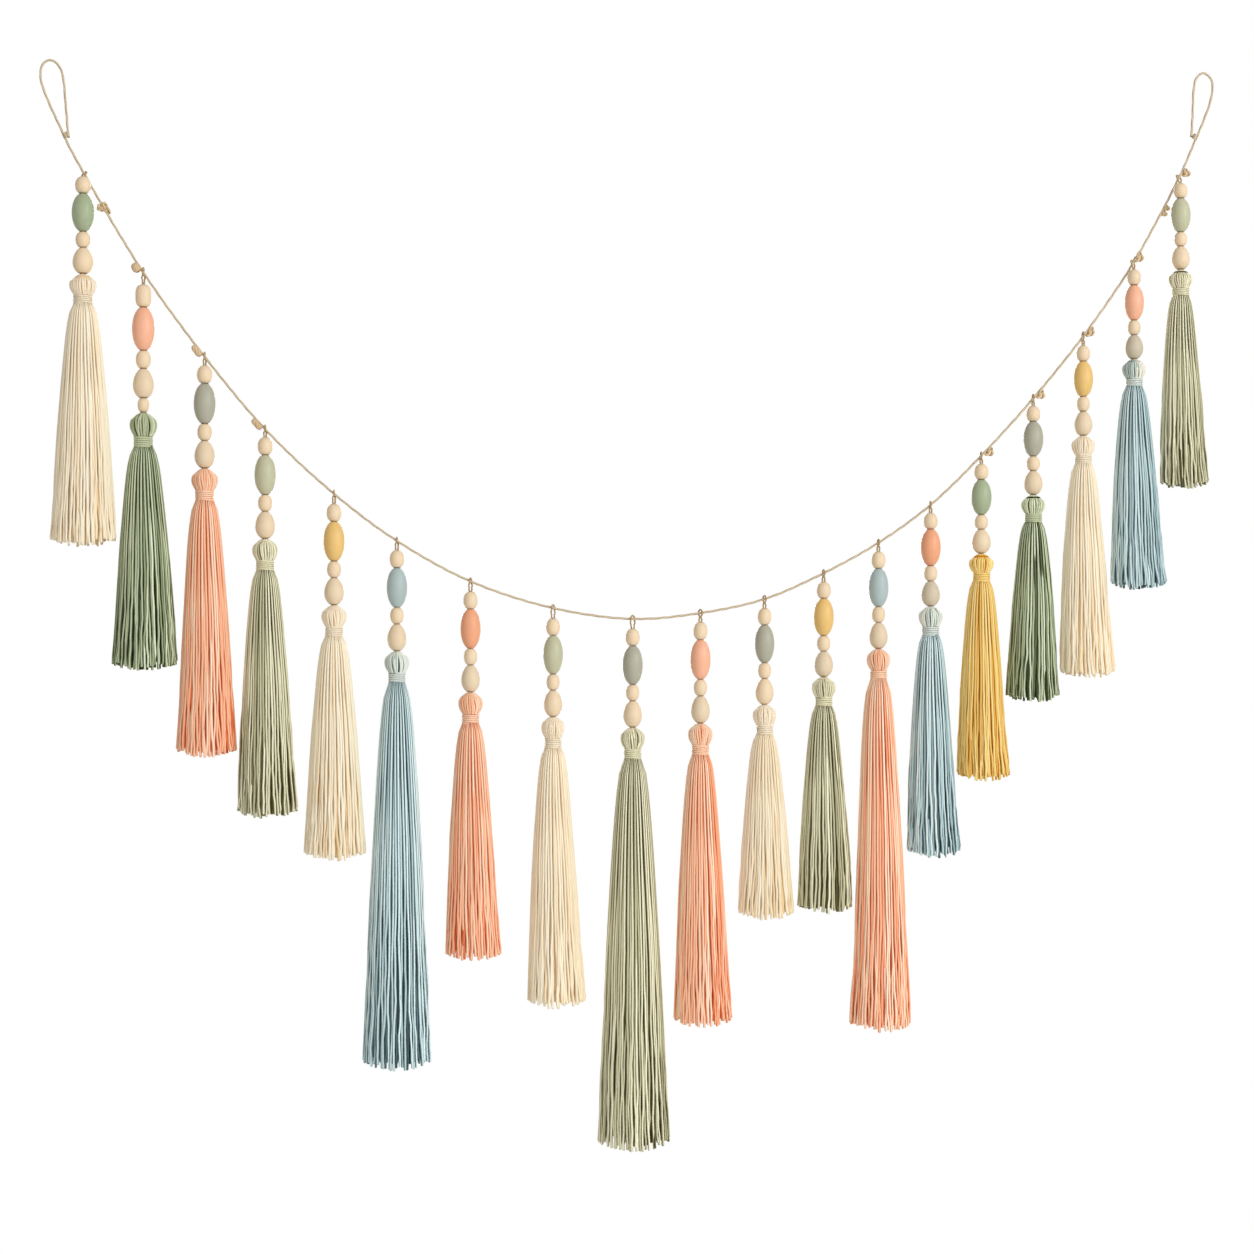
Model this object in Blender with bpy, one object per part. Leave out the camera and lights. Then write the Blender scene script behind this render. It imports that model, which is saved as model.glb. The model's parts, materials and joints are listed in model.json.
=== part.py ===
# Tassel garland: nineteen strands of wooden beads, each ending in a yarn tassel, hung on one twine.
#
# Units are metres, +Z is up, +X runs along the garland and the viewer stands on the -Y side.
# The origin is where a hook bears inside the left hanging loop. Every strand swings about an axis
# along X through its own place on the twine, and its tassel tilts at the tie inside its head.

import math

import bmesh
import bpy
from mathutils import Matrix, Vector

# The twine and the two loops that it hangs by
HANGING_WIDTH = 0.891  # crown of one loop to crown of the other
DROP = 0.426  # crown of a loop to the lowest twine
TWINE_RADIUS = 0.001
LOOP_LENGTH = 0.064
LOOP_WIDTH = 0.018
LONGEST_STEP = 0.032  # between the points of the twine's tube
CURVE_STEPS = 24  # samples of the smooth curve between two points of the route

# Knots along the twine
KNOT_RADIUS = 0.0029
KNOT_LENGTH = 0.0092
KNOT_WRAPS = 3
KNOT_OFFSET = 0.0090  # from a strand to the middle of the knot that stops it
LOOP_KNOT_RADIUS = 0.0027
LOOP_KNOT_LENGTH = 0.0050
LOOP_KNOT_SETBACK = 0.0040  # from a loop's foot up to the middle of its knot

# The thread through the beads, and its loop round the twine
THREAD_RADIUS = 0.0006
LOOP_DROP = 0.0070  # middle of the twine to the first bead
RUNNING_GAP = 0.0003  # between pieces that move on each other
LOOP_TURN = math.radians(40)  # how far a loop turns its open side to the viewer on level twine
ARC_POINTS = 7
SWING = math.radians(60)

# The beads
STRING_RADIUS = 0.0010
TOP_BEAD = (0.0056, 0.0132)  # radius, height
BARREL_BEAD = (0.0056, 0.0156)
COLOUR_BEAD = (0.0080, 0.0300)
SMALL_BEAD = (0.0053, 0.0124)
EGG_BEAD = (0.0074, 0.0202)
SPACER_BEAD = (0.0041, 0.0098)

# The tassels
HEAD_RADIUS = 0.0096
HEAD_HEIGHT = 0.0160
HEAD_GAP = 0.0005  # between the last bead and the yarn, so that the head can tilt
BINDING_RADIUS = 0.0071
BINDING_HEIGHT = 0.0084
BINDING_GROOVE = 0.0006
BINDING_WRAPS = 3
SKIRT_LENGTH = 0.180
HEM_WIDTH = 0.047
SKIRT_GAP = 0.0010  # least air between neighbouring skirts
HEM_RAGGED = 0.0024
PLEAT_SHARE = 0.07  # of a skirt's width, in and out by turns

# Faces round each kind of turned piece
BEAD_SIDES = 8
KNOT_SIDES = 6
TASSEL_SIDES = 12
THREAD_SIDES = 4

# The left loop from its tied end to its foot: (across as a share of LOOP_WIDTH, down as a share of
# LOOP_LENGTH), from the crown
LEFT_LOOP_SHARES = [
    (0.806, 0.922),
    (0.758, 0.827),
    (0.717, 0.667),
    (0.661, 0.478),
    (0.606, 0.286),
    (0.544, 0.181),
    (0.450, 0.095),
    (0.256, 0.027),
    (0.000, 0.000),
    (-0.211, 0.027),
    (-0.344, 0.090),
    (-0.383, 0.175),
    (-0.322, 0.290),
    (-0.056, 0.489),
    (0.228, 0.667),
    (0.472, 0.816),
    (0.694, 0.955),
]

# The right loop from its foot to its tied end
RIGHT_LOOP_SHARES = [
    (-0.389, 0.842),
    (-0.156, 0.691),
    (0.078, 0.528),
    (0.267, 0.386),
    (0.361, 0.267),
    (0.406, 0.169),
    (0.356, 0.088),
    (0.228, 0.033),
    (0.000, 0.000),
    (-0.206, 0.028),
    (-0.350, 0.090),
    (-0.411, 0.170),
    (-0.444, 0.267),
    (-0.461, 0.430),
    (-0.494, 0.605),
    (-0.533, 0.780),
]

# Where the strands hang: (across as a share of HANGING_WIDTH, down as a share of DROP)
HANG_SHARES = [
    (0.0294, 0.2032),
    (0.0796, 0.3788),
    (0.1317, 0.5290),
    (0.1833, 0.6586),
    (0.2422, 0.7745),
    (0.2961, 0.8590),
    (0.3594, 0.9318),
    (0.4306, 0.9800),
    (0.4995, 0.9996),
    (0.5583, 0.9890),
    (0.6141, 0.9635),
    (0.6657, 0.9165),
    (0.7136, 0.8611),
    (0.7593, 0.7921),
    (0.8038, 0.7023),
    (0.8495, 0.5973),
    (0.8936, 0.4833),
    (0.9375, 0.3501),
    (0.9782, 0.1927),
]

# One row for each strand: the height and the girth of its beads and head, its loop's drop, its skirt's
# length and its hem's width, and how far the hem hangs to the right as a share of half the hem
STRAND_SHARES = [
    (0.957, 1.065, 0.450, 1.016, 1.093, 0.021),
    (1.090, 1.080, 1.352, 0.938, 1.112, 0.062),
    (1.018, 1.045, 0.992, 1.080, 1.018, 0.058),
    (1.004, 1.020, 0.917, 1.044, 1.020, 0.074),
    (1.003, 1.010, 1.123, 0.942, 1.039, 0.032),
    (1.001, 0.985, 1.049, 1.634, 1.156, 0.018),
    (1.001, 0.975, 1.128, 1.000, 0.947, 0.121),
    (0.979, 0.955, 1.144, 1.102, 0.983, 0.134),
    (0.985, 0.975, 1.076, 1.661, 1.216, 0.039),
    (1.010, 0.985, 1.006, 1.155, 0.989, 0.087),
    (0.963, 0.950, 1.021, 0.783, 0.958, 0.052),
    (0.949, 0.980, 0.981, 0.879, 0.961, 0.083),
    (0.973, 0.965, 0.991, 1.502, 1.062, 0.051),
    (0.936, 0.975, 0.886, 0.946, 0.932, 0.126),
    (0.897, 0.995, 0.921, 0.852, 0.917, 0.084),
    (0.890, 0.980, 0.852, 0.767, 0.935, -0.007),
    (0.905, 0.955, 1.052, 0.917, 0.954, 0.155),
    (0.898, 0.950, 0.743, 0.867, 0.973, 0.180),
    (0.866, 0.955, 0.724, 0.825, 0.840, 0.168),
]

# Strands (counted from 0) that a knot stops, with the way uphill, and the knots that stop none, each
# with the strand before it and the share of the way to the next
STOPPED_STRANDS = {1: -1, 2: -1, 3: -1, 14: 1, 15: 1, 16: 1, 17: 1, 18: 1}
FREE_KNOT_SHARES = {0: 0.315, 17: 0.665}
SPACED_STRANDS = {1}  # with a barrel bead on top and one more bead above the tassel
BEADS_IN_FRONT = {0, 17, 18}  # whose first bead hangs in front of the steep twine

# Outlines from top to bottom: (height share, radius share)
ROUND_BEAD_SHARES = [(0.0, 0.42), (0.15, 0.83), (0.5, 1.0), (0.85, 0.83), (1.0, 0.42)]
COLOUR_BEAD_SHARES = [
    (0.0, 0.32),
    (0.10, 0.66),
    (0.27, 0.90),
    (0.5, 1.0),
    (0.73, 0.90),
    (0.90, 0.66),
    (1.0, 0.32),
]
EGG_BEAD_SHARES = [(0.0, 0.32), (0.14, 0.68), (0.36, 0.93), (0.57, 1.0), (0.85, 0.80), (1.0, 0.40)]
HEAD_SHARES = [(0.0, 0.25), (0.14, 0.68), (0.46, 1.0), (0.78, 0.95), (1.0, 0.76)]
# (length share, width as a share of the way from the neck's to the hem's, depth as a share of the width)
SKIRT_SHARES = [
    (0.03, 0.17, 0.98),
    (0.10, 0.30, 0.92),
    (0.38, 0.575, 0.82),
    (0.80, 0.86, 0.72),
    (1.00, 1.00, 0.68),
]

COLOURS = {
    "twine": (0.62, 0.48, 0.32),
    "natural_wood": (0.76, 0.59, 0.40),
    "cream_yarn": (0.83, 0.67, 0.47),
    "fern_yarn": (0.265, 0.30, 0.18),
    "coral_yarn": (0.81, 0.39, 0.235),
    "sage_yarn": (0.43, 0.395, 0.245),
    "blue_yarn": (0.34, 0.44, 0.45),
    "yellow_yarn": (0.745, 0.47, 0.135),
    "green_paint": (0.37, 0.42, 0.27),
    "pale_coral_paint": (0.86, 0.455, 0.30),
    "coral_paint": (0.82, 0.38, 0.21),
    "grey_paint": (0.415, 0.40, 0.315),
    "sage_paint": (0.515, 0.505, 0.34),
    "mustard_paint": (0.785, 0.51, 0.18),
    "blue_paint": (0.405, 0.49, 0.48),
}

# The strands' tassels and painted beads from left to right
YARNS = (
    "cream fern coral sage cream blue coral cream sage coral "
    "cream sage coral blue yellow fern cream blue sage"
).split()
PAINTS = (
    "green pale_coral grey sage mustard blue coral sage grey pale_coral "
    "grey mustard blue coral green grey mustard pale_coral sage"
).split()


def material(name, roughness):
    found = bpy.data.materials.get(name)
    if found:
        return found
    made = bpy.data.materials.new(name)
    made.use_nodes = True
    made.diffuse_color = (*COLOURS[name], 1)
    shader = made.node_tree.nodes["Principled BSDF"]
    shader.inputs["Base Color"].default_value = (*COLOURS[name], 1)
    shader.inputs["Roughness"].default_value = roughness
    shader.inputs["Metallic"].default_value = 0
    return made


def add_object(name, mesh, finish, parent=None, place=(0, 0, 0)):
    made = bpy.data.objects.new(name, mesh)
    bpy.context.scene.collection.objects.link(made)
    made.parent = parent
    made.location = place
    if finish:
        mesh.materials.append(finish)
    return made


def add_pivot(name, parent=None, place=(0, 0, 0)):
    pivot = bpy.data.objects.new(name, None)
    bpy.context.scene.collection.objects.link(pivot)
    pivot.parent = parent
    pivot.location = place
    return pivot


def smooth_curve(points, steps):
    # A Catmull-Rom curve through the points, each span of it in equal steps of its own parameter
    ends = [2 * points[0] - points[1]] + points + [2 * points[-1] - points[-2]]
    curve = []
    for a, b, c, d in zip(ends, ends[1:], ends[2:], ends[3:]):
        u, v, w = ((q - p).length ** 0.5 for p, q in ((a, b), (b, c), (c, d)))
        start = (b - a) / u - (c - a) / (u + v) + (c - b) / v
        end = (c - b) / v - (d - b) / (v + w) + (d - c) / w
        for step in range(steps):
            t = step / steps
            curve.append(
                b * (2 * t**3 - 3 * t**2 + 1)
                + start * v * (t**3 - 2 * t**2 + t)
                + c * (3 * t**2 - 2 * t**3)
                + end * v * (t**3 - t**2)
            )
    return curve + [points[-1]]


def twine_route():
    # The route's own points: left loop, the strands' places, right loop
    crown = Vector((0, 0, TWINE_RADIUS))

    def loop(shares, start):
        return [start + Vector((x * LOOP_WIDTH, 0, -z * LOOP_LENGTH)) for x, z in shares]

    hangs = [crown + Vector((x * HANGING_WIDTH, 0, -z * DROP)) for x, z in HANG_SHARES]
    left = loop(LEFT_LOOP_SHARES, crown)
    right = loop(RIGHT_LOOP_SHARES, crown + Vector((HANGING_WIDTH, 0, 0)))
    return left, hangs, right


def twine_points(left, hangs, right):
    # The tube's points: the route's own in the loops, and an even few between the strands
    route = left + hangs + right
    curve = smooth_curve(route, CURVE_STEPS)
    points = []
    for number in range(len(route) - 1):
        first = number * CURVE_STEPS
        length = (route[number + 1] - route[number]).length
        parts = max(1, math.ceil(length / LONGEST_STEP))
        points += [curve[first + round(CURVE_STEPS * part / parts)] for part in range(parts)]
    return points + [route[-1]]


def along(points, start, distance):
    # The place and direction at a distance along the points from the point numbered start
    way = 1 if distance > 0 else -1
    left, here = abs(distance), start
    while True:
        step = points[here + way] - points[here]
        if step.length >= left:
            return points[here] + step.normalized() * left, step.normalized()
        left -= step.length
        here += way


def turned(bm, rows, sides, centre=(0, 0), shape=None):
    # Rings of points about a vertical axis, joined by faces and closed at both ends.
    # rows are (height, radius) from top to bottom, and shape may move a point of a row.
    rings = []
    for number, (height, radius) in enumerate(rows):
        ring = []
        for side in range(sides):
            angle = 2 * math.pi * side / sides
            x, y, z = radius * math.cos(angle), radius * math.sin(angle), height
            if shape:
                x, y, z = shape(number, side, x, y, z)
            ring.append(bm.verts.new((x + centre[0], y + centre[1], z)))
        rings.append(ring)
    for above, below in zip(rings, rings[1:]):
        for side in range(sides):
            after = (side + 1) % sides
            bm.faces.new((above[side], below[side], below[after], above[after]))
    return rings


def close_ends(bm, rings, foot_rise=0.0):
    bm.faces.new(rings[0])
    last = rings[-1]
    middle = sum((v.co for v in last), Vector()) / len(last)
    centre = bm.verts.new(middle + Vector((0, 0, foot_rise)))
    for side, corner in enumerate(last):
        bm.faces.new((corner, centre, last[(side + 1) % len(last)]))


def mesh_from(bm, name, round_from=math.radians(50)):
    bmesh.ops.recalc_face_normals(bm, faces=bm.faces)
    mesh = bpy.data.meshes.new(name)
    bm.to_mesh(mesh)
    bm.free()
    mesh.shade_smooth()
    mesh.set_sharp_from_angle(angle=round_from)
    return mesh


def barrel_knot(bm, centre, direction, radius, length, wraps):
    # A ribbed barrel whose axis follows the twine
    rows = []
    for row in range(2 * wraps + 1):
        groove = row % 2 == 0
        end = row in (0, 2 * wraps)
        share = 0.66 if end else 0.84 if groove else 1.0
        rows.append((length * (0.5 - row / (2 * wraps)), radius * share))
    knot = bmesh.new()
    close_ends(knot, turned(knot, rows, KNOT_SIDES))
    turn = direction.to_track_quat("Z", "Y").to_matrix().to_4x4()
    knot.transform(Matrix.Translation(centre) @ turn)
    part = bpy.data.meshes.new("knot")
    knot.to_mesh(part)
    knot.free()
    bm.from_mesh(part)
    bpy.data.meshes.remove(part)


def build_twine(left, hangs, right):
    points = twine_points(left, hangs, right)
    curve = bpy.data.curves.new("twine_route", "CURVE")
    curve.dimensions = "3D"
    curve.bevel_depth = TWINE_RADIUS
    curve.bevel_resolution = 2
    curve.use_fill_caps = True
    spline = curve.splines.new("POLY")
    spline.points.add(len(points) - 1)
    for target, point in zip(spline.points, points):
        target.co = (*point, 1)
    guide = add_object("twine_guide", curve, None)
    bpy.context.view_layer.update()
    mesh = bpy.data.meshes.new_from_object(guide.evaluated_get(bpy.context.evaluated_depsgraph_get()))
    bpy.data.objects.remove(guide)
    mesh.shade_smooth()

    numbers = [min(range(len(points)), key=lambda n: (points[n] - hang).length) for hang in hangs]
    bm = bmesh.new()
    for strand, way in STOPPED_STRANDS.items():
        centre, direction = along(points, numbers[strand], way * KNOT_OFFSET)
        barrel_knot(bm, centre, direction, KNOT_RADIUS, KNOT_LENGTH, KNOT_WRAPS)
    for strand, share in FREE_KNOT_SHARES.items():
        distance = share * (hangs[strand + 1] - hangs[strand]).length
        centre, direction = along(points, numbers[strand], distance)
        barrel_knot(bm, centre, direction, KNOT_RADIUS, KNOT_LENGTH, KNOT_WRAPS)
    for foot, tied in ((left[-1], left[0]), (right[0], right[-1])):
        start = min(range(len(points)), key=lambda n: (points[n] - foot).length)
        way = 1 if foot is right[0] else -1
        centre, direction = along(points, start, way * LOOP_KNOT_SETBACK)
        aside = (tied - centre) - (tied - centre).dot(direction) * direction
        middle = centre + aside.normalized() * TWINE_RADIUS * 1.2
        barrel_knot(bm, middle, direction, LOOP_KNOT_RADIUS, LOOP_KNOT_LENGTH, KNOT_WRAPS)
    knots = add_object("knot_shapes", mesh_from(bm, "knot_shapes"), None)
    knots.hide_render = True
    knots.display_type = "WIRE"

    twine = add_object("main_cord", mesh, material("twine", 0.85))
    union = twine.modifiers.new("knots", "BOOLEAN")
    union.operation = "UNION"
    union.object = knots
    return points, numbers


def bead_rows(outline, size, top):
    radius, height = size
    return [(top - h * height, r * radius) for h, r in outline]


def scaled(size, girth, tall):
    return size[0] * girth, size[1] * tall


def twine_direction(points, number):
    return (points[number + 1] - points[number - 1]).normalized()


def least_share(normal, direction, swings):
    # How much of a loop's radius still clears the twine at its worst in the swing: the loop's plane
    # has this normal, and the twine runs straight through its middle
    shares = []
    for swing in swings:
        shares.append(abs((Matrix.Rotation(swing, 3, "X") @ normal).dot(direction)))
    return min(shares)


def swing_angles(number):
    # Positive angles carry the tassel away from the viewer here
    farthest = 0.0 if number in BEADS_IN_FRONT else SWING
    steps = 12
    return [-SWING + (SWING + farthest) * step / steps for step in range(steps + 1)]


def front_offset(number, direction, bead, drop):
    # How far in front of the twine a strand hangs so that its first bead clears the slope
    if number not in BEADS_IN_FRONT:
        return 0.0
    level = math.hypot(direction.x, direction.y)
    beside = (drop + bead[1] / 2) * level
    needed = bead[0] + TWINE_RADIUS + 2 * RUNNING_GAP
    return math.sqrt(max(needed**2 - beside**2, 0.0))


def thread_loop(number, direction, offset, drop):
    # The points of a closed loop from the first bead's hole round the twine and back
    slope = math.atan2(abs(direction.z), abs(direction.x))
    foot = Vector((0, -offset, -drop))
    if offset:
        toward = foot.normalized()
        normal = (direction - direction.dot(toward) * toward).normalized()
    else:
        turn = max(LOOP_TURN - slope, 0.0)
        side = 1 if direction.z > 0 else -1
        normal = Vector((math.cos(turn), side * math.sin(turn), 0))
    clear = TWINE_RADIUS + THREAD_RADIUS + RUNNING_GAP
    radius = clear / least_share(normal, direction, swing_angles(number)) * 1.04
    down = foot.normalized()
    across = normal.cross(down).normalized()
    half = math.acos(min(radius / foot.length, 0.98))
    points = [foot]
    for step in range(ARC_POINTS):
        angle = half + (2 * math.pi - 2 * half) * step / (ARC_POINTS - 1)
        points.append(radius * (math.cos(angle) * down + math.sin(angle) * across))
    return points


def closed_tube(bm, points, radius, sides):
    # A ring of faces round a closed path that lies in one plane
    count = len(points)
    normal = (points[1] - points[0]).cross(points[-1] - points[0]).normalized()
    rings = []
    for number, point in enumerate(points):
        ahead = (points[(number + 1) % count] - point).normalized()
        behind = (point - points[number - 1]).normalized()
        tangent = (ahead + behind).normalized()
        side_way = tangent.cross(normal)
        stretch = 1 / max(tangent.dot(ahead), 0.5)
        ring = []
        for side in range(sides):
            angle = 2 * math.pi * (side + 0.5) / sides
            offset = side_way * math.cos(angle) * stretch + normal * math.sin(angle)
            ring.append(bm.verts.new(point + offset * radius))
        rings.append(ring)
    for number in range(count):
        one, two = rings[number], rings[(number + 1) % count]
        for side in range(sides):
            after = (side + 1) % sides
            bm.faces.new((one[side], two[side], two[after], one[after]))


def build_strand(number, pivot, direction, layout):
    # The thread loop with the natural beads and their string, all in one
    offset = layout["offset"]
    rows = bead_rows(ROUND_BEAD_SHARES, layout["top_bead"], layout["top_bead_top"])
    rows += [(layout["colour_top"] + RUNNING_GAP, STRING_RADIUS), (layout["small_top"], STRING_RADIUS)]
    rows += bead_rows(ROUND_BEAD_SHARES, layout["small_bead"], layout["small_top"] - RUNNING_GAP / 4)
    rows += bead_rows(EGG_BEAD_SHARES, layout["egg_bead"], layout["egg_top"])
    if number in SPACED_STRANDS:
        rows += bead_rows(ROUND_BEAD_SHARES, layout["spacer_bead"], layout["spacer_top"])
    bm = bmesh.new()
    close_ends(bm, turned(bm, rows, BEAD_SIDES, centre=(0, -offset)))
    body = mesh_from(bm, "beads")

    bm = bmesh.new()
    foot = thread_loop(number, direction, offset, layout["loop_drop"] + THREAD_RADIUS * 2)
    closed_tube(bm, foot, THREAD_RADIUS, THREAD_SIDES)
    loop = add_object(f"loop_shape_{number + 1:02d}", mesh_from(bm, "loop"), None, pivot)
    loop.hide_render = True
    loop.display_type = "WIRE"

    strand = add_object(f"bead_strand_{number + 1:02d}", body, material("natural_wood", 0.5), pivot)
    union = strand.modifiers.new("loop", "BOOLEAN")
    union.operation = "UNION"
    union.object = loop
    return strand


def build_colour_bead(number, pivot, layout):
    radius, height = layout["colour_bead"]
    bore = (STRING_RADIUS + RUNNING_GAP) / math.cos(math.pi / BEAD_SIDES)
    bm = bmesh.new()
    rows = [(h * height, r * radius) for h, r in COLOUR_BEAD_SHARES]
    rows = [(height / 2 - h, r) for h, r in rows]
    outer = turned(bm, rows, BEAD_SIDES)
    inner = turned(bm, [(height / 2, bore), (-height / 2, bore)], BEAD_SIDES)
    for outside, inside in ((outer[0], inner[0]), (outer[-1], inner[-1])):
        for side in range(BEAD_SIDES):
            after = (side + 1) % BEAD_SIDES
            bm.faces.new((outside[side], inside[side], inside[after], outside[after]))
    place = (0, -layout["offset"], layout["colour_top"] - height / 2)
    mesh = mesh_from(bm, "colour_bead")
    return add_object(f"colour_bead_{number + 1:02d}", mesh, material(f"{PAINTS[number]}_paint", 0.45), pivot, place)


def strand_layout(number, direction):
    # Where everything on a strand lies, down from its place on the twine
    tall, girth, drop, skirt, hem, shift = STRAND_SHARES[number]
    made = {"loop_drop": drop * LOOP_DROP}
    for name, bead in (
        ("top_bead", BARREL_BEAD if number in SPACED_STRANDS else TOP_BEAD),
        ("colour_bead", COLOUR_BEAD),
        ("small_bead", SMALL_BEAD),
        ("egg_bead", EGG_BEAD),
        ("spacer_bead", SPACER_BEAD),
        ("head", (HEAD_RADIUS, HEAD_HEIGHT)),
        ("binding", (BINDING_RADIUS, BINDING_HEIGHT)),
    ):
        made[name] = scaled(bead, girth, tall)
    made["offset"] = front_offset(number, direction, made["top_bead"], made["loop_drop"])
    made["top_bead_top"] = -made["loop_drop"]
    made["colour_top"] = made["top_bead_top"] - made["top_bead"][1] - RUNNING_GAP
    made["small_top"] = made["colour_top"] - made["colour_bead"][1] - RUNNING_GAP * 3 / 4
    made["egg_top"] = made["small_top"] - made["small_bead"][1] - RUNNING_GAP * 2
    foot = made["egg_top"] - made["egg_bead"][1]
    if number in SPACED_STRANDS:
        made["spacer_top"] = foot - RUNNING_GAP * 2
        foot = made["spacer_top"] - made["spacer_bead"][1]
    made["head_top"] = foot - HEAD_GAP
    made["tie"] = made["head_top"] - made["head"][1] / 2
    made["skirt_top"] = made["head_top"] - made["head"][1] - made["binding"][1]
    made["skirt_length"] = skirt * SKIRT_LENGTH
    made["half_hem"] = hem * HEM_WIDTH / 2
    made["shift"] = shift * made["half_hem"]
    return made


def half_width(layout, share):
    # Half of a skirt's width, its share of the way from the neck's to the hem's
    neck = layout["binding"][0]
    return neck + (layout["half_hem"] - neck) * share


def skirt_side(layout, hang, height):
    # (middle, half width) of a skirt at a world height, or None above and below it
    share = round((hang.z + layout["skirt_top"] - height) / layout["skirt_length"], 6)
    if not 0 <= share <= 1:
        return None
    rows = [(0.0, 0.0)] + [(a, b) for a, b, _ in SKIRT_SHARES]
    for (low, narrow), (high, wide) in zip(rows, rows[1:]):
        if share <= high:
            width = narrow + (wide - narrow) * (share - low) / (high - low)
            break
    return hang.x + layout["shift"] * share**2, half_width(layout, width)


def skirt_levels(layout, hang):
    # The world heights of a skirt's rows, from the neck down
    top = hang.z + layout["skirt_top"]
    return [top] + [top - share * layout["skirt_length"] for share, _, _ in SKIRT_SHARES]


def side_share(number, other, layouts, hangs, row):
    # How much of its width a row of a skirt keeps on the side of a neighbour, so that the two stay
    # clear at this row and at each of the neighbour's between the rows next to it
    if not 0 <= other < len(hangs):
        return 1.0
    mine = skirt_levels(layouts[number], hangs[number])
    theirs = skirt_levels(layouts[other], hangs[other])
    above, here, below = mine[row], mine[row + 1], mine[min(row + 2, len(mine) - 1)]
    kept = 1.0
    for level in [here] + [level for level in theirs if below <= level <= above]:
        one = skirt_side(layouts[number], hangs[number], level)
        two = skirt_side(layouts[other], hangs[other], level)
        if one and two:
            room = abs(one[0] - two[0]) - SKIRT_GAP
            kept = min(kept, room / (one[1] + two[1]))
    return kept


def build_tassel(number, pivot, layouts, hangs):
    layout = layouts[number]
    radius, height = layout["head"]
    tie = layout["tie"]
    top = layout["head_top"] - tie
    rows = [(top - h * height, r * radius) for h, r in HEAD_SHARES]
    neck, neck_height = layout["binding"]
    start = top - height
    for row in range(1, 2 * BINDING_WRAPS):
        groove = BINDING_GROOVE if row % 2 == 0 else 0.0
        rows.append((start - neck_height * row / (2 * BINDING_WRAPS), neck - groove))
    bound = len(rows)
    skirt_top = layout["skirt_top"] - tie
    for share, width, _ in SKIRT_SHARES:
        rows.append((skirt_top - share * layout["skirt_length"], half_width(layout, width)))

    def drape(row, side, x, y, z):
        # Flattens the skirt from front to back, pleats it and gives it a ragged hem
        if row < bound:
            return x, y, z
        share, _, depth = SKIRT_SHARES[row - bound]
        other = number + (1 if x > 0 else -1)
        x *= side_share(number, other, layouts, hangs, row - bound)
        pleat = 1 - 2 * PLEAT_SHARE * (side % 2)
        if row == len(rows) - 1:
            z += HEM_RAGGED * (0.5 - side % 2)
        return x * pleat + layout["shift"] * share**2, y * depth * pleat, z

    bm = bmesh.new()
    rings = turned(bm, rows, TASSEL_SIDES, shape=drape)
    close_ends(bm, rings, foot_rise=HEM_RAGGED)
    mesh = mesh_from(bm, "tassel", math.radians(60))
    finish = material(f"{YARNS[number]}_yarn", 0.9)
    return add_object(f"tassel_{number + 1:02d}", mesh, finish, pivot)


def main():
    for old in list(bpy.data.objects):
        bpy.data.objects.remove(old)
    left, hangs, right = twine_route()
    points, numbers = build_twine(left, hangs, right)
    directions = [twine_direction(points, n) for n in numbers]
    layouts = [strand_layout(n, direction) for n, direction in enumerate(directions)]
    for number, hang in enumerate(hangs):
        layout = layouts[number]
        swing = add_pivot(f"strand_pivot_{number + 1:02d}", place=hang)
        build_strand(number, swing, directions[number], layout)
        build_colour_bead(number, swing, layout)
        tilt = add_pivot(f"tassel_pivot_{number + 1:02d}", swing, (0, -layout["offset"], layout["tie"]))
        build_tassel(number, tilt, layouts, hangs)
    print(f"{len(points)} points in the twine's tube, {len(hangs)} strands")


main()
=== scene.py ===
# Tassel garland: twine, threaded wooden beads and yarn tassels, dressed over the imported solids.
# Everything is in metres, in the solids' own frame: +X along the garland, +Z up, viewer at -Y.

import json
import math
import random

import bpy
import numpy as np
from mathutils import Matrix, Vector
from mathutils.kdtree import KDTree


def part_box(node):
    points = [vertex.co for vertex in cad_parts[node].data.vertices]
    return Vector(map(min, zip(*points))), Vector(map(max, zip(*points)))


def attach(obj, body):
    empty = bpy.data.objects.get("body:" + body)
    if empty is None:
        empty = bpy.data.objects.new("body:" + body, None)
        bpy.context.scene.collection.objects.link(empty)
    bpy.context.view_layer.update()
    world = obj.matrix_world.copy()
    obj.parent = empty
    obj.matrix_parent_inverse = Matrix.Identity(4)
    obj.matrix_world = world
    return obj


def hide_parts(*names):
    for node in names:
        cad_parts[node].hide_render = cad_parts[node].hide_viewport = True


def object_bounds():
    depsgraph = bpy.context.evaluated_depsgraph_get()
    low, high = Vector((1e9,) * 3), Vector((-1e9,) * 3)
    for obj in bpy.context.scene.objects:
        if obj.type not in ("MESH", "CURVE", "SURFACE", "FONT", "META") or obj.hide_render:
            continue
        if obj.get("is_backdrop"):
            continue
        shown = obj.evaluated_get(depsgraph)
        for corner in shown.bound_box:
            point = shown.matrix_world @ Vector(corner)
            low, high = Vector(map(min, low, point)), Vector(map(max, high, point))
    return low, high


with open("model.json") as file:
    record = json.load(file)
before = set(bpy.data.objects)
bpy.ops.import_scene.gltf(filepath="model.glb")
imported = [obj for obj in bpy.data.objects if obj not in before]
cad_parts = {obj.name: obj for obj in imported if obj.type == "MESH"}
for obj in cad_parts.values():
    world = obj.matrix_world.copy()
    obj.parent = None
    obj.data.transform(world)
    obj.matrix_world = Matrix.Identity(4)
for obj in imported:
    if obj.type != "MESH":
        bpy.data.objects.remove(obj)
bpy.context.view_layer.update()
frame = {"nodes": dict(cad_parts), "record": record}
strandCount = sum(name.startswith("bead_strand") for name in frame["nodes"])
print(f"frame loaded: {strandCount} strands")


# Small tools

mergeDistance = 0.00001
creaseAngle = math.radians(50)
plainTone = 0.5  # for threads whose colour doesn't read a tone


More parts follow.
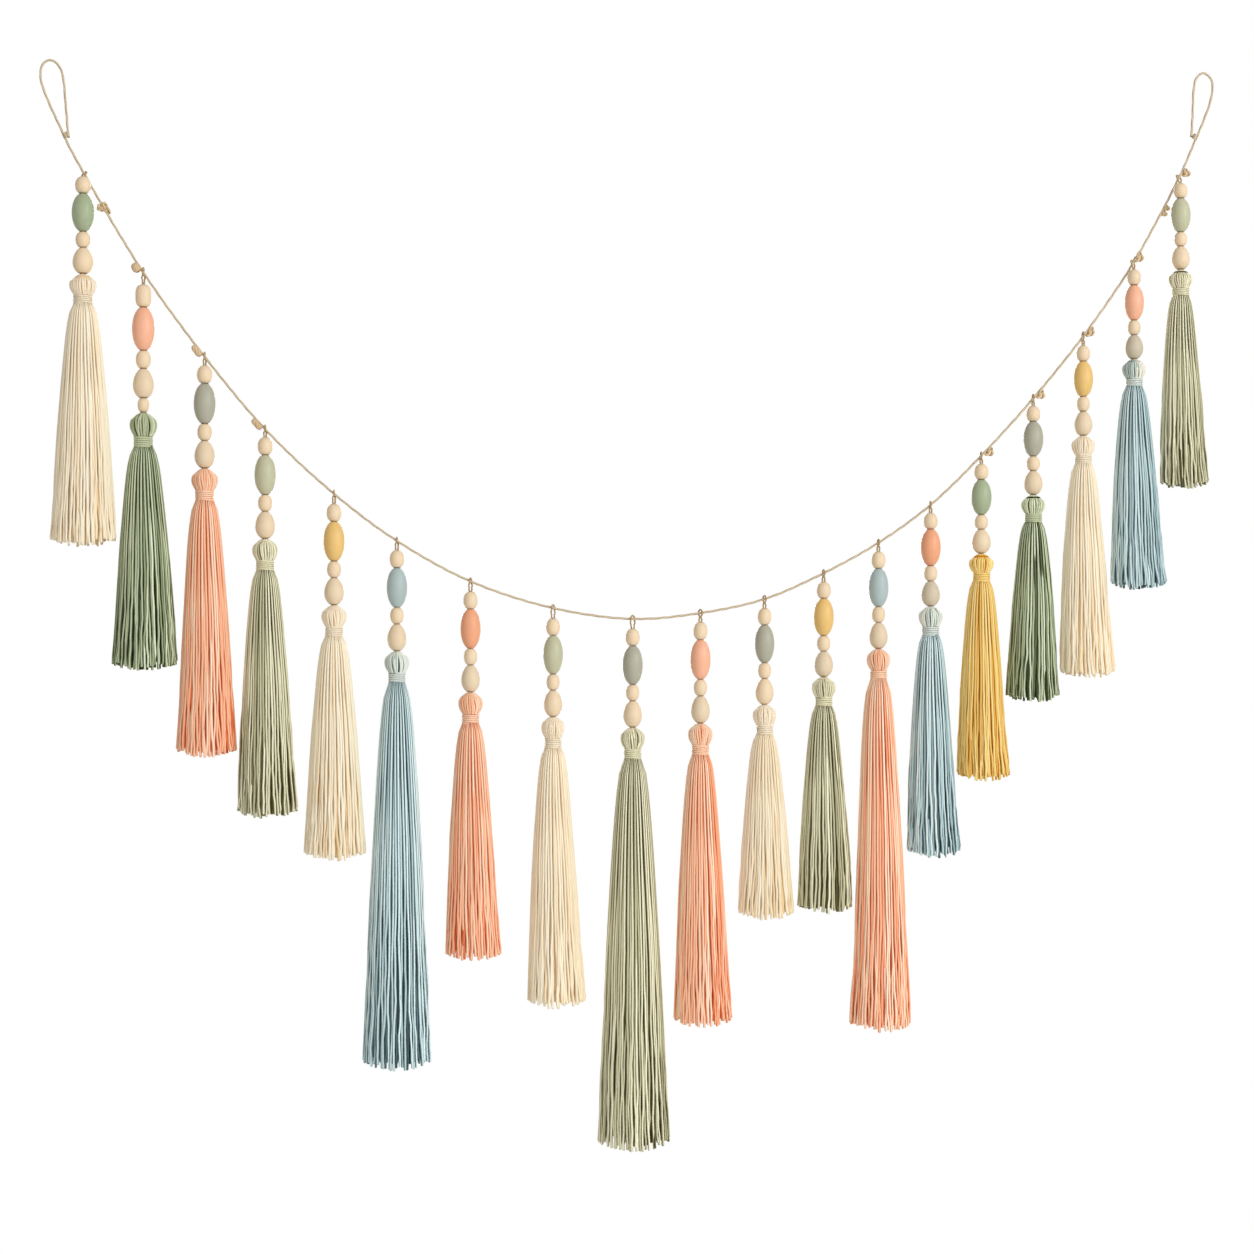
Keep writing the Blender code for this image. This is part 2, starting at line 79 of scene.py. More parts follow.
def activate(*objects):
    bpy.ops.object.select_all(action="DESELECT")
    for item in objects:
        item.select_set(True)
    bpy.context.view_layer.objects.active = objects[0]


def smoothCurve(points, steps):
    # A smooth curve through the points, in equal steps between each two
    ends = [2 * points[0] - points[1]] + points + [2 * points[-1] - points[-2]]
    curve = []
    for a, b, c, d in zip(ends, ends[1:], ends[2:], ends[3:]):
        u, v, w = ((q - p).length ** 0.5 for p, q in ((a, b), (b, c), (c, d)))
        start = (b - a) / u - (c - a) / (u + v) + (c - b) / v
        end = (c - b) / v - (d - b) / (v + w) + (d - c) / w
        for step in range(steps):
            t = step / steps
            curve.append(
                b * (2 * t**3 - 3 * t**2 + 1)
                + start * v * (t**3 - 2 * t**2 + t)
                + c * (3 * t**2 - 2 * t**3)
                + end * v * (t**3 - t**2)
            )
    return curve + [points[-1]]


def asRows(points):
    return np.array([tuple(point) for point in points])


def travelledAlong(line):
    return np.concatenate([[0], np.cumsum(np.linalg.norm(np.diff(line, axis=0), axis=1))])


def evenly(points, step, closed=False):
    # The same line in equal steps, each about as long as asked
    line = asRows(points)
    if closed:
        line = np.vstack([line, line[:1]])
    travelled = travelledAlong(line)
    count = max(3, round(travelled[-1] / step) + 1)
    places = np.linspace(0, travelled[-1], count)
    even = np.stack([np.interp(places, travelled, line[:, axis]) for axis in range(3)], axis=1)
    return even[:-1] if closed else even


def lineLength(points):
    return float(travelledAlong(asRows(points))[-1])


def atHeight(table, z, column):
    # A column of a table of rows from the top down, read at a height
    return np.interp(-z, -table[:, 0], table[:, column])


def besideAxis(axis, out, angle, z):
    # Points at these distances and angles from an upright axis
    return np.stack([axis.x + out * np.cos(angle), axis.y + out * np.sin(angle), z + 0 * angle], axis=1)


def smoothStep(low, high, value):
    t = np.clip((value - low) / (high - low), 0, 1)
    return t * t * (3 - 2 * t)


def readField(items, field, width, kind=float):
    # A field of every item, one row each
    flat = np.zeros(len(items) * width, dtype=kind)
    items.foreach_get(field, flat)
    return flat.reshape(-1, width)


def setField(piece, name, values):
    fields = piece.data.attributes
    layer = fields.get(name) or fields.new(name, "FLOAT", "POINT")
    layer.data.foreach_set("value", np.broadcast_to(values, len(layer.data)).astype(float))


def closeSeams():
    bpy.ops.object.mode_set(mode="EDIT")
    bpy.ops.mesh.select_all(action="SELECT")
    bpy.ops.mesh.remove_doubles(threshold=mergeDistance)
    bpy.ops.mesh.normals_make_consistent(inside=False)
    bpy.ops.object.mode_set(mode="OBJECT")


def drawTubes(name, lines, bevel, closed=False):
    # Round threads along the lines, made as one bevelled curve and turned into a mesh.
    # A line is (points, widths, tone); tone is kept as an attribute that the yarns' colours read,
    # and the UV map's V runs along each thread in metres.
    curve = bpy.data.curves.new(name, "CURVE")
    curve.dimensions = "3D"
    curve.bevel_depth = 0.5
    curve.bevel_resolution = bevel
    curve.use_fill_caps = True
    for points, widths, tone in lines:
        spline = curve.splines.new("POLY")
        spline.points.add(len(points) - 1)
        flat = np.ones((len(points), 4))
        flat[:, :3] = points
        spline.points.foreach_set("co", flat.ravel())
        spline.points.foreach_set("radius", np.broadcast_to(widths, len(points)).astype(float))
        spline.use_cyclic_u = closed
    threads = bpy.data.objects.new(name, curve)
    bpy.context.scene.collection.objects.link(threads)
    activate(threads)
    bpy.ops.object.convert(target="MESH")
    mesh = threads.data
    sides = 2 * bevel + 4  # corners round a thread, and round each of its caps
    corners = [len(points) * sides + (0 if closed else 2 * sides) for points, _, _ in lines]
    setField(threads, "tone", np.repeat([tone for _, _, tone in lines], corners))
    lengths = np.repeat([lineLength(points) for points, _, _ in lines], corners)
    spots = readField(mesh.uv_layers[0].data, "uv", 2)
    spots[:, 1] *= lengths[readField(mesh.loops, "vertex_index", 1, int)[:, 0]]
    mesh.uv_layers[0].data.foreach_set("uv", spots.ravel())
    closeSeams()
    bpy.ops.object.shade_smooth()
    return threads


def turnProfile(name, rings, sides):
    # A turned piece about Z from (height, radius) rings: a circle, extruded and scaled ring by ring
    bpy.ops.mesh.primitive_circle_add(vertices=sides, radius=rings[0][1])
    piece = bpy.context.object
    piece.name = piece.data.name = name
    bpy.ops.object.mode_set(mode="EDIT")
    bpy.ops.mesh.select_all(action="SELECT")
    bpy.ops.transform.translate(value=(0, 0, rings[0][0]))
    for (height, radius), (nextHeight, nextRadius) in zip(rings, rings[1:]):
        rise = (0, 0, nextHeight - height)
        bpy.ops.mesh.extrude_edges_move(TRANSFORM_OT_translate={"value": rise})
        grow = nextRadius / radius
        bpy.ops.transform.resize(value=(grow, grow, 1), center_override=(0, 0, nextHeight))
    bpy.ops.object.mode_set(mode="OBJECT")
    closeSeams()
    bpy.ops.object.shade_smooth_by_angle(angle=creaseAngle)
    return piece


def copyPiece(model, name, change):
    # A copy with its own mesh, moved and scaled in the mesh so that its object stays at the origin
    copied = bpy.data.objects.new(name, model.data.copy())
    copied.data.name = name
    copied.data.transform(change)
    bpy.context.scene.collection.objects.link(copied)
    return copied


def joinPieces(name, pieces):
    activate(*pieces)
    bpy.ops.object.join()
    joined = bpy.context.object
    joined.name = joined.data.name = name
    return joined


def markFacing(piece, centre, flat=True):
    # How squarely each point of a bundle of threads looks away from its middle. The creases look
    # sideways, and the materials paint shade there, darker where the creases fall into shade.
    # A flat one hangs, and its cut ends look down.
    away = readField(piece.data.vertices, "co", 3) - np.array(tuple(centre))
    normals = readField(piece.data.vertex_normals, "vector", 3)
    if flat:
        away[:, 2] = 0
    away /= np.maximum(np.linalg.norm(away, axis=1), 1e-6)[:, None]
    facing = (away * normals).sum(axis=1)
    if flat:
        level = np.maximum(np.linalg.norm(normals[:, :2], axis=1), 0.25)
        facing = np.maximum(facing / level, -normals[:, 2])
    setField(piece, "facing", facing)


def nearestPoints(piece, line):
    # The point of the line that is nearest to each corner of the piece
    tree = KDTree(len(line))
    for index, point in enumerate(line):
        tree.insert(point, index)
    tree.balance()
    return [tuple(tree.find(vertex.co)[0]) for vertex in piece.data.vertices]


def dress(piece, material, body, slot, *nodes):
    piece.data.materials.clear()
    piece.data.materials.append(material)
    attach(piece, body)
    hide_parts(*nodes)


# Shader maths: Python's operators add the Math nodes

class Wire:
    def __init__(self, shader, socket):
        self.shader = shader
        self.socket = socket

    def maths(self, operation, first, second=0.0):
        return self.shader.add("ShaderNodeMath", {"operation": operation}, {0: first, 1: second})

    def __add__(self, other):
        return self.maths("ADD", self, other)

    __radd__ = __add__

    def __sub__(self, other):
        return self.maths("SUBTRACT", self, other)

    def __rsub__(self, other):
        return self.maths("SUBTRACT", other, self)

    def __mul__(self, other):
        return self.maths("MULTIPLY", self, other)

    def __pow__(self, other):
        return self.maths("POWER", self, other)

    def sine(self):
        return self.maths("SINE", self)

    def upTo(self, limit):
        return self.maths("MINIMUM", self, limit)


class Shader:
    def __init__(self, owner):
        # The owner is a new material or world
        self.owner = owner
        owner.use_nodes = True
        self.tree = owner.node_tree
        self.nodes = self.tree.nodes

    def add(self, kind, settings, inputs, output=0):
        # Settings come first, since they can change which sockets a node has
        node = self.nodes.new(kind)
        for name, value in settings.items():
            setattr(node, name, value)
        for key, value in inputs.items():
            self.feed(node.inputs[key], value)
        return Wire(self, node.outputs[output])

    def feed(self, socket, value):
        if isinstance(value, Wire):
            self.tree.links.new(value.socket, socket)
        else:
            socket.default_value = value

    def ramp(self, share, *stops):
        # The first colour is at 0 and the last one at 1
        colour = self.add("ShaderNodeValToRGB", {}, {"Fac": share})
        elements = colour.socket.node.color_ramp.elements
        for spot, _ in stops[1:-1]:
            elements.new(spot)
        for element, (_, paint) in zip(elements, stops):
            element.color = (*paint, 1)
        return colour

    def mix(self, share, first, second):
        colours = [c if isinstance(c, Wire) else (*c, 1) for c in (first, second)]
        return self.add("ShaderNodeMix", {"data_type": "RGBA"}, {0: share, 6: colours[0], 7: colours[1]}, 2)

    def noise(self, vector, scale, detail=2.0):
        return self.add("ShaderNodeTexNoise", {}, {"Vector": vector, "Scale": scale, "Detail": detail})

    def place(self, *scale):
        spot = self.add("ShaderNodeTexCoord", {}, {}, "Object")
        return self.add("ShaderNodeMapping", {}, {"Vector": spot, "Scale": scale}) if scale else spot

    def threadSpot(self):
        # Round the thread, and along it in metres
        spot = self.add("ShaderNodeUVMap", {"uv_map": "UVMap"}, {})
        return [self.add("ShaderNodeSeparateXYZ", {}, {0: spot}, axis) for axis in (0, 1)]

    def windingLines(self, spot, count, slant):
        # Lines that wind round a thread: how many, and their turns in a metre
        return ((spot[0] + spot[1] * slant) * (2 * math.pi * count)).sine() * 0.5 + 0.5

    def attribute(self, name):
        return self.add("ShaderNodeAttribute", {"attribute_name": name}, {}, "Fac")

    def bump(self, height, distance, strength=1.0):
        inputs = {"Height": height, "Distance": distance, "Strength": strength}
        return self.add("ShaderNodeBump", {}, inputs)

    def show(self, output, share, first, second):
        # The first surface, a node of this name, mixed with the second one
        surface = Wire(self, self.nodes[first].outputs[0])
        both = self.add("ShaderNodeMixShader", {}, {0: share, 1: surface, 2: second})
        self.feed(self.nodes[output].inputs["Surface"], both)

    def finish(self, **values):
        for name, value in values.items():
            socket = self.nodes["Principled BSDF"].inputs[name.replace("_", " ")]
            self.feed(socket, (*value, 1) if isinstance(value, tuple) else value)
        return self.owner


def scaledColour(colour, share):
    return tuple(min(1.0, channel * share) for channel in colour)


# The camera stands level with the middle of the garland, a little to its left

cameraLook = {
    "target": (0.4407, 0.0, -0.4311),
    "distance": 2.0,
    "turn": math.radians(3.0),
    "viewWidth": 0.96696,
    "sensor": 36.0,
}


def addCamera(look):
    aim = Vector((math.sin(look["turn"]), math.cos(look["turn"]), 0))
    bpy.ops.object.camera_add(location=Vector(look["target"]) - aim * look["distance"])
    camera = bpy.context.object
    camera.name = "camera"
    camera.rotation_euler = aim.to_track_quat("-Z", "Y").to_euler()
    camera.data.sensor_width = look["sensor"]
    camera.data.lens = look["sensor"] * look["distance"] / look["viewWidth"]
    bpy.context.scene.camera = camera


addCamera(cameraLook)


# Twine: one length from the tied end of the left loop to the tied end of the right one

twineLook = {
    "width": 0.0020,
    "plies": 3,
    "plyWidth": 0.00132,
    "plyOffset": 0.00033,
    "turn": 0.0330,  # length of one full turn of the lay
    "step": 0.0012,
    "crown": 0.001,  # a hook bears at z = 0, under the middle of the left crown
    "reach": 0.891,  # crown to crown
    "drop": 0.426,  # crown to the lowest twine
    # where the strands hang, as shares of the reach and the drop
    "hangs": [
        (0.0294, 0.2032), (0.0796, 0.3788), (0.1317, 0.5290), (0.1833, 0.6586), (0.2422, 0.7745),
        (0.2961, 0.8590), (0.3594, 0.9318), (0.4306, 0.9800), (0.4995, 0.9996), (0.5583, 0.9890),
        (0.6141, 0.9635), (0.6657, 0.9165), (0.7136, 0.8611), (0.7593, 0.7921), (0.8038, 0.7023),
        (0.8495, 0.5973), (0.8936, 0.4833), (0.9375, 0.3501), (0.9782, 0.1927),
    ],
    "leftLoop": [
        (0.01451, -0.05901), (0.01364, -0.05293), (0.01291, -0.04269), (0.01190, -0.03059),
        (0.01091, -0.01830), (0.00979, -0.01158), (0.00810, -0.00608), (0.00461, -0.00173),
        (0.00000, 0.00000), (-0.00380, -0.00173), (-0.00619, -0.00576), (-0.00689, -0.01120),
        (-0.00580, -0.01856), (-0.00101, -0.03130), (0.00410, -0.04269), (0.00850, -0.05222),
        (0.01249, -0.06112),
    ],
    "rightLoop": [
        (-0.00700, -0.05389), (-0.00281, -0.04422), (0.00140, -0.03379), (0.00481, -0.02470),
        (0.00650, -0.01709), (0.00731, -0.01082), (0.00641, -0.00563), (0.00410, -0.00211),
        (0.00000, 0.00000), (-0.00371, -0.00179), (-0.00630, -0.00576), (-0.00740, -0.01088),
        (-0.00799, -0.01709), (-0.00830, -0.02752), (-0.00889, -0.03872), (-0.00959, -0.04992),
    ],
}


def twineRoute(look):
    # The left loop, the strands' places and the right loop, and the curve through them all
    leftCrown = Vector((0, 0, look["crown"]))
    rightCrown = leftCrown + Vector((look["reach"], 0, 0))
    left = [leftCrown + Vector((x, 0, z)) for x, z in look["leftLoop"]]
    right = [rightCrown + Vector((x, 0, z)) for x, z in look["rightLoop"]]
    middle = [leftCrown + Vector((x * look["reach"], 0, -z * look["drop"])) for x, z in look["hangs"]]
    return left, middle, right, smoothCurve(left + middle + right, 24)


def twistedPlies(line, look, closed=False):
    # The plies of a laid thread round a line that lies in one plane, whose normal is the side way
    tangents = np.gradient(line, axis=0)
    if closed:
        tangents = np.roll(line, -1, axis=0) - np.roll(line, 1, axis=0)
    tangents /= np.linalg.norm(tangents, axis=1)[:, None]
    side = look.get("side", np.array([0.0, 1.0, 0.0]))
    across = np.cross(tangents, side)
    across /= np.linalg.norm(across, axis=1)[:, None]
    travelled = travelledAlong(line)
    turns = travelled / look["turn"]
    if closed:
        whole = travelled[-1] + np.linalg.norm(line[0] - line[-1])
        turns = travelled / whole * max(1, round(whole / look["turn"]))
    plies = []
    for ply in range(look["plies"]):
        angle = 2 * math.pi * (turns + ply / look["plies"])
        offset = np.cos(angle)[:, None] * across + np.sin(angle)[:, None] * side
        plies.append((line + look["plyOffset"] * offset, look["plyWidth"], plainTone))
    return plies


def twineMaterial(name, deep, pale, creaseShade=None):
    # The painted shade in the creases is (gain, strength, share of the other dark marks that stays)
    shader = Shader(bpy.data.materials.new(name))
    place = shader.place()
    fibres = shader.noise(place, scale=900, detail=3)
    patches = shader.noise(place, scale=60)
    lines = shader.windingLines(shader.threadSpot(), count=3, slant=260)
    colour = shader.mix(patches, deep, pale)
    dark = fibres * 0.14 + lines**4 * 0.12
    if creaseShade:
        gain, strength, share = creaseShade
        # Painted shade: darker where the plies' and strands' creases look sideways
        dark = dark * share + (1 - (shader.attribute("facing") * gain).upTo(1.0)) * strength
    colour = shader.mix(dark.upTo(1.0), colour, scaledColour(deep, 0.50))
    normal = shader.bump(fibres * 0.6 - lines * 0.4, distance=0.00003)
    return shader.finish(Base_Color=colour, Roughness=0.7, Specular_IOR_Level=0.3, Normal=normal)


leftPart, hangs, rightPart, route = twineRoute(twineLook)
twineLine = evenly(route, twineLook["step"])
twine = drawTubes("twine", twistedPlies(twineLine, twineLook), 1)
# The plies' creases are marked; the last numbers of the twine's and knots' colours set the painted shade in
# them
markFacing(twine, nearestPoints(twine, twineLine), False)
twineFinish = twineMaterial("twine", (0.62, 0.48, 0.30), (0.92, 0.79, 0.59), (1.0, 6.5, 0.8))
knotFinish = twineMaterial("twine_knots", (0.60, 0.42, 0.23), (0.84, 0.65, 0.42), (1.1, 0.9, 0.4))
threadFinish = twineMaterial("thread", (0.44, 0.28, 0.12), (0.60, 0.42, 0.21))
dress(twine, twineFinish, "garland_cord", "twine", "main_cord")


# Knots: overhand knots drawn tight against the twine's lower side, some with the ends laid along

knotLook = {
    "threadWidth": 0.0020,
    "laidStrands": {1, 2, 3},
    "laidPitch": 0.90,  # from one laid strand to the next, against the thread
    "laidTwist": 1.1,
    "drawnIn": (0.15, 3.2),  # how thin the ends are, and how suddenly
    "turnStep": 2.1,  # each knot is turned on from the one before
    "courseDepth": 0.62,
    "courseReach": 2.3,  # how far the overhand course goes before it is pressed
    "heart": [0.9, 1.6, 1.8, 1.6, 0.9],
    # strand, its way along the twine or share of the way to the next strand, setback, length, radius,
    # how far the lump's axis lies below the twine's
    "lumps": [
        (0, 0.327, 0.0, 0.0060, 0.0022, 0.0026),
        (0, 0.360, 0.0, 0.0092, 0.0026, -0.0012),
        (1, -1, 0.0061, 0.0080, 0.0036, 0.0026),
        (2, -1, 0.0078, 0.0108, 0.0027, 0.0022),
        (3, -1, 0.0078, 0.0108, 0.0026, 0.0022),
        (14, 1, 0.0060, 0.0076, 0.0030, 0.0026),
        (15, 1, 0.0060, 0.0076, 0.0030, 0.0026),
        (16, 1, 0.0064, 0.0086, 0.0027, 0.0026),
        (17, 1, 0.0068, 0.0088, 0.0033, 0.0014),
        (17, 0.607, 0.0, 0.0048, 0.0024, 0.0022),
        (17, 0.680, 0.0, 0.0050, 0.0026, 0.0016),
        (18, 1, 0.0056, 0.0066, 0.0031, 0.0034),
    ],
}


def laidLines(look, length, radius, start):
    # Strands side by side along the lump, drawn in at both ends, round a core
    thread = look["threadWidth"]
    coil = radius - thread / 2
    count = max(4, round(2 * math.pi * coil / (thread * look["laidPitch"])))
    thinnest, power = look["drawnIn"]
    t = np.linspace(-1, 1, 15)
    out = coil * np.sqrt(np.maximum(thinnest, 1 - np.abs(t) ** power))
    along = (length - thread) / 2 * t
    lines = []
    for strand in range(count):
        angle = start + 2 * math.pi * strand / count + look["laidTwist"] * t
        points = np.stack([out * np.cos(angle), out * np.sin(angle), along], axis=1)
        lines.append((points, thread, plainTone))
    heart = np.stack([0 * t, 0 * t, 0.8 * along], axis=1)
    return lines + [(heart, 1.9 * out, plainTone)]


def lumpLines(look, length, radius, start):
    # The closed course of an overhand knot, pressed into the lump's length and width, round a core
    thread = look["threadWidth"]
    reach, coil = (length - thread) / 2, radius - thread / 2
    t = np.linspace(0, 2 * math.pi, 49)
    wide = (np.sin(t) + 2 * np.sin(2 * t)) / look["courseReach"]
    tall = (np.cos(t) - 2 * np.cos(2 * t)) / look["courseReach"]
    across = coil * (wide * math.sin(start) + tall * math.cos(start))
    along = reach * (wide * math.cos(start) - tall * math.sin(start))
    points = np.stack([coil * look["courseDepth"] * np.sin(3 * t), across, along], axis=1)
    heart = reach * np.linspace(-0.7, 0.7, 5)
    fill = np.stack([heart * 0, heart * 0, heart], axis=1)
    return [(points, thread, plainTone), (fill, coil * np.array(look["heart"]), plainTone)]


def placeAlong(start, distance):
    # The place and the direction of the twine at a distance from its point nearest to the start
    nearest = int(np.argmin(np.linalg.norm(twineLine - np.array(tuple(start)), axis=1)))
    other = nearest + round(distance / twineLook["step"])
    return Vector(twineLine[other]), Vector(twineLine[other + 2] - twineLine[other - 2]).normalized()


def makeKnots(look):
    knots = []
    for number, (strand, way, setback, length, radius, below) in enumerate(look["lumps"]):
        distance = way * setback
        if abs(way) < 1:
            distance = way * (hangs[strand + 1] - hangs[strand]).length
        place, direction = placeAlong(hangs[strand], distance)
        under = Vector((direction.z, 0, -direction.x)) * below
        course = laidLines if strand in look["laidStrands"] else lumpLines
        knot = drawTubes("knot", course(look, length, radius, number * look["turnStep"]), 1)
        markFacing(knot, (0, 0, 0))
        turn = direction.to_track_quat("Z", "Y").to_matrix().to_4x4()
        knot.data.transform(Matrix.Translation(place + under) @ turn)
        knots.append(knot)
    return joinPieces("stopper_knots", knots)


stopperKnots = makeKnots(knotLook)
dress(stopperKnots, knotFinish, "garland_cord", "twine", "main_cord")
print("stopper knots tied")


# Ties: thin thread wound round both legs of each hanging loop

tieLook = {
    "threadWidth": 0.0007,
    "wraps": 6.5,
    "wrapSteps": 20,
    "length": 0.0046,
    "across": 0.0019,
    "deep": 0.0011,
    "setback": 0.0036,
    "aside": 0.6,  # from the twine's middle to the tie's, against the twine's width
}


def tieLine(look):
    t = np.linspace(0, 1, int(look["wraps"] * look["wrapSteps"]) + 1)
    angle = 2 * math.pi * look["wraps"] * t
    rise = (t - 0.5) * (look["length"] - look["threadWidth"])
    return np.stack([look["across"] * np.cos(angle), look["deep"] * np.sin(angle), rise], axis=1)


def makeTies(look):
    ties = []
    for foot, tied, way in ((leftPart[-1], leftPart[0], -1), (rightPart[0], rightPart[-1], 1)):
        place, direction = placeAlong(foot, way * look["setback"])
        aside = (tied - place) - (tied - place).dot(direction) * direction
        across = aside.normalized()
        middle = place + across * twineLook["width"] * look["aside"]
        turn = Matrix((across, direction.cross(across), direction)).transposed().to_4x4()
        tie = drawTubes("tie", [(tieLine(look), look["threadWidth"], plainTone)], 1)
        markFacing(tie, (0, 0, 0))
        tie.data.transform(Matrix.Translation(middle) @ turn)
        ties.append(tie)
    return joinPieces("loop_ties", ties)


loopTies = makeTies(tieLook)
dress(loopTies, twineFinish, "garland_cord", "twine", "main_cord")


# Beads: one of each kind is turned, and every other is a scaled copy

beadLook = {
    "sides": 32,
    "bore": 0.0013,
    # radius, height
    "coloured": (0.0080, 0.0300),
    "round": (0.0056, 0.0132),
    "barrel": (0.0056, 0.0156),
    "small": (0.0053, 0.0124),
    "egg": (0.0074, 0.0202),
    "spacer": (0.0041, 0.0098),
    "gap": 0.0003,
    "grown": 0.0001,  # how much each end closes the gap
    "edge": 0.00025,  # the rounding at the hole
    # how far from each end the painted shade where beads meet reaches
    "darkEnd": 0.0006,
    "spaced": {1},
    # how far each egg leans to a greyer tan, and the other natural beads against it
    "eggTones": [
        0, 0.15, 0.2, 0.12, 0.14, 0.18, 0.22, 0.05, 0.1, 0.25,
        0, 0.34, 0.3, 0.72, 0.1, 0.28, 0.2, 0.87, 0.1,
    ],
    "otherWood": 0.12,
}


def roundedOutline(top, foot, widest, upper, lower, count):
    # (height share, width share) from the top: two rounded halves that meet at the widest place
    outline = []
    for step in range(count + 1):
        share = 0.5 - 0.5 * math.cos(math.pi * step / count)
        end = top if share < widest else foot
        power = upper if share < widest else lower
        away = (widest - share) / widest if share < widest else (share - widest) / (1 - widest)
        outline.append((share, (1 - (1 - end**power) * away**power) ** (1 / power)))
    return outline


beadOutlines = {
    "coloured": roundedOutline(0.30, 0.30, 0.5, 2.05, 2.05, 22),
    "round": roundedOutline(0.34, 0.46, 0.52, 2.15, 2.3, 16),
    "barrel": roundedOutline(0.42, 0.44, 0.5, 3.0, 3.0, 18),
    "small": roundedOutline(0.42, 0.44, 0.5, 2.25, 2.3, 16),
    "egg": roundedOutline(0.30, 0.42, 0.58, 1.85, 1.95, 20),
    "spacer": roundedOutline(0.44, 0.44, 0.5, 2.4, 2.4, 14),
}


def turnBead(kind):
    # Down the outside, then up through the bore and back to the start
    radius, height = beadLook[kind]
    rings = [(-share * height, width * radius) for share, width in beadOutlines[kind]]
    edge = beadLook["edge"]
    rings = [(-edge * 0.3, rings[0][1] - edge)] + rings + [(-height + edge * 0.3, rings[-1][1] - edge)]
    rings += [(-height * (1 - share), beadLook["bore"]) for share in (0.02, 0.5, 0.98)]
    bead = turnProfile(f"model_{kind}", rings + [rings[0]], beadLook["sides"])
    # The bore and the ends where beads meet are darker: painted shade, and on wood darker end grain too
    corners = readField(bead.data.vertices, "co", 3)
    near = np.minimum(-corners[:, 2], height + corners[:, 2])
    bored = np.hypot(corners[:, 0], corners[:, 1]) < beadLook["bore"] * 1.1
    setField(bead, "endGrainAndShade", np.where(bored, 1.0, np.maximum(0.0, 1 - near / beadLook["darkEnd"])))
    return bead


def woodMaterial():
    shader = Shader(bpy.data.materials.new("natural_wood"))
    grain = shader.noise(shader.place(1, 1, 0.12), scale=1500, detail=3)
    clouds = shader.noise(shader.place(), scale=90)
    colour = shader.mix(clouds, (0.81, 0.63, 0.43), (0.86, 0.69, 0.48))
    colour = shader.mix(grain * 0.14, colour, (0.66, 0.46, 0.27))
    colour = shader.mix(shader.attribute("tone"), colour, (0.53, 0.475, 0.365))
    # painted shade in the bore and where beads meet, with darker end grain
    colour = shader.mix(shader.attribute("endGrainAndShade") * 0.8, colour, (0.18, 0.11, 0.05))
    normal = shader.bump(grain, distance=0.00004, strength=0.5)
    rough = 0.40 + grain * 0.12
    return shader.finish(Base_Color=colour, Roughness=rough, Specular_IOR_Level=0.25, Normal=normal)


def paintMaterial(name, colour):
    shader = Shader(bpy.data.materials.new(name))
    clouds = shader.noise(shader.place(), scale=120, detail=3)
    grain = shader.noise(shader.place(1, 1, 0.15), scale=1300)
    tint = shader.mix(clouds, scaledColour(colour, 0.93), scaledColour(colour, 1.06))
    # painted shade in the bore and where beads meet
    tint = shader.mix(shader.attribute("endGrainAndShade") * 0.8, tint, (0.15, 0.10, 0.05))
    normal = shader.bump(grain, distance=0.00003, strength=0.4)
    rough = 0.36 + clouds * 0.06
    return shader.finish(Base_Color=tint, Roughness=rough, Specular_IOR_Level=0.3, Normal=normal)


paintColours = {
    "green_paint": (0.36, 0.42, 0.265),
    "pale_coral_paint": (0.88, 0.45, 0.29),
    "coral_paint": (0.82, 0.37, 0.205),
    "grey_paint": (0.41, 0.40, 0.315),
    "sage_paint": (0.51, 0.505, 0.34),
    "mustard_paint": (0.785, 0.51, 0.175),
    "blue_paint": (0.40, 0.49, 0.485),
}
wood = woodMaterial()
paints = {name: paintMaterial(name, colour) for name, colour in paintColours.items()}
nodeSlots = {part["node"]: part["material_slot"] for part in frame["record"]["subparts"]}
beadModels = {kind: turnBead(kind) for kind in beadOutlines}


def strandLayout(number):
    # How tall and wide the strand's pieces are against the table's, and where its beads' tops lie
    label = f"{number + 1:02d}"
    low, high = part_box(f"colour_bead_{label}")
    axis = (low + high) / 2
    tall = (high.z - low.z) / beadLook["coloured"][1]
    girth = (high.x - low.x) / 2 / beadLook["coloured"][0]
    spaced = number in beadLook["spaced"]
    layout = {"number": number, "label": label, "tall": tall, "girth": girth, "axis": axis, "tops": {}}
    first = "barrel" if spaced else "round"
    layout["top"] = high.z + beadLook["gap"] + beadLook[first][1] * tall
    below = layout["top"]
    for kind in (first, "coloured", "small", "egg") + (("spacer",) if spaced else ()):
        layout["tops"][kind] = below
        below -= beadLook[kind][1] * tall + beadLook["gap"]
    layout["foot"] = below + beadLook["gap"]
    return layout


def placeBead(layout, kind, name):
    # A bead at its place on the strand, grown at both ends to close the gaps
    axis, girth = layout["axis"], layout["girth"]
    grown = layout["tall"] + 2 * beadLook["grown"] / beadLook[kind][1]
    place = Matrix.Translation((axis.x, axis.y, layout["tops"][kind] + beadLook["grown"]))
    return copyPiece(beadModels[kind], name, place @ Matrix.Diagonal((girth, girth, grown, 1)))


def makeWoodenBeads(layout):
    beads = []
    tone = beadLook["eggTones"][layout["number"]]
    for kind in layout["tops"]:
        if kind != "coloured":
            bead = placeBead(layout, kind, f"{kind}_{layout['label']}")
            setField(bead, "tone", tone if kind == "egg" else tone * beadLook["otherWood"])
            beads.append(bead)
    return joinPieces(f"wooden_beads_{layout['label']}", beads)


layouts = [strandLayout(number) for number in range(strandCount)]
for layout in layouts:
    label = layout["label"]
    beads = makeWoodenBeads(layout)
    dress(beads, wood, f"strand_{label}", "natural_wood", f"bead_strand_{label}")
    painted = placeBead(layout, "coloured", f"painted_bead_{label}")
    slot = nodeSlots[f"colour_bead_{label}"]
    dress(painted, paints[slot], f"bead_{label}", slot, f"colour_bead_{label}")
for model in beadModels.values():
    bpy.data.objects.remove(model)
print("beads turned")
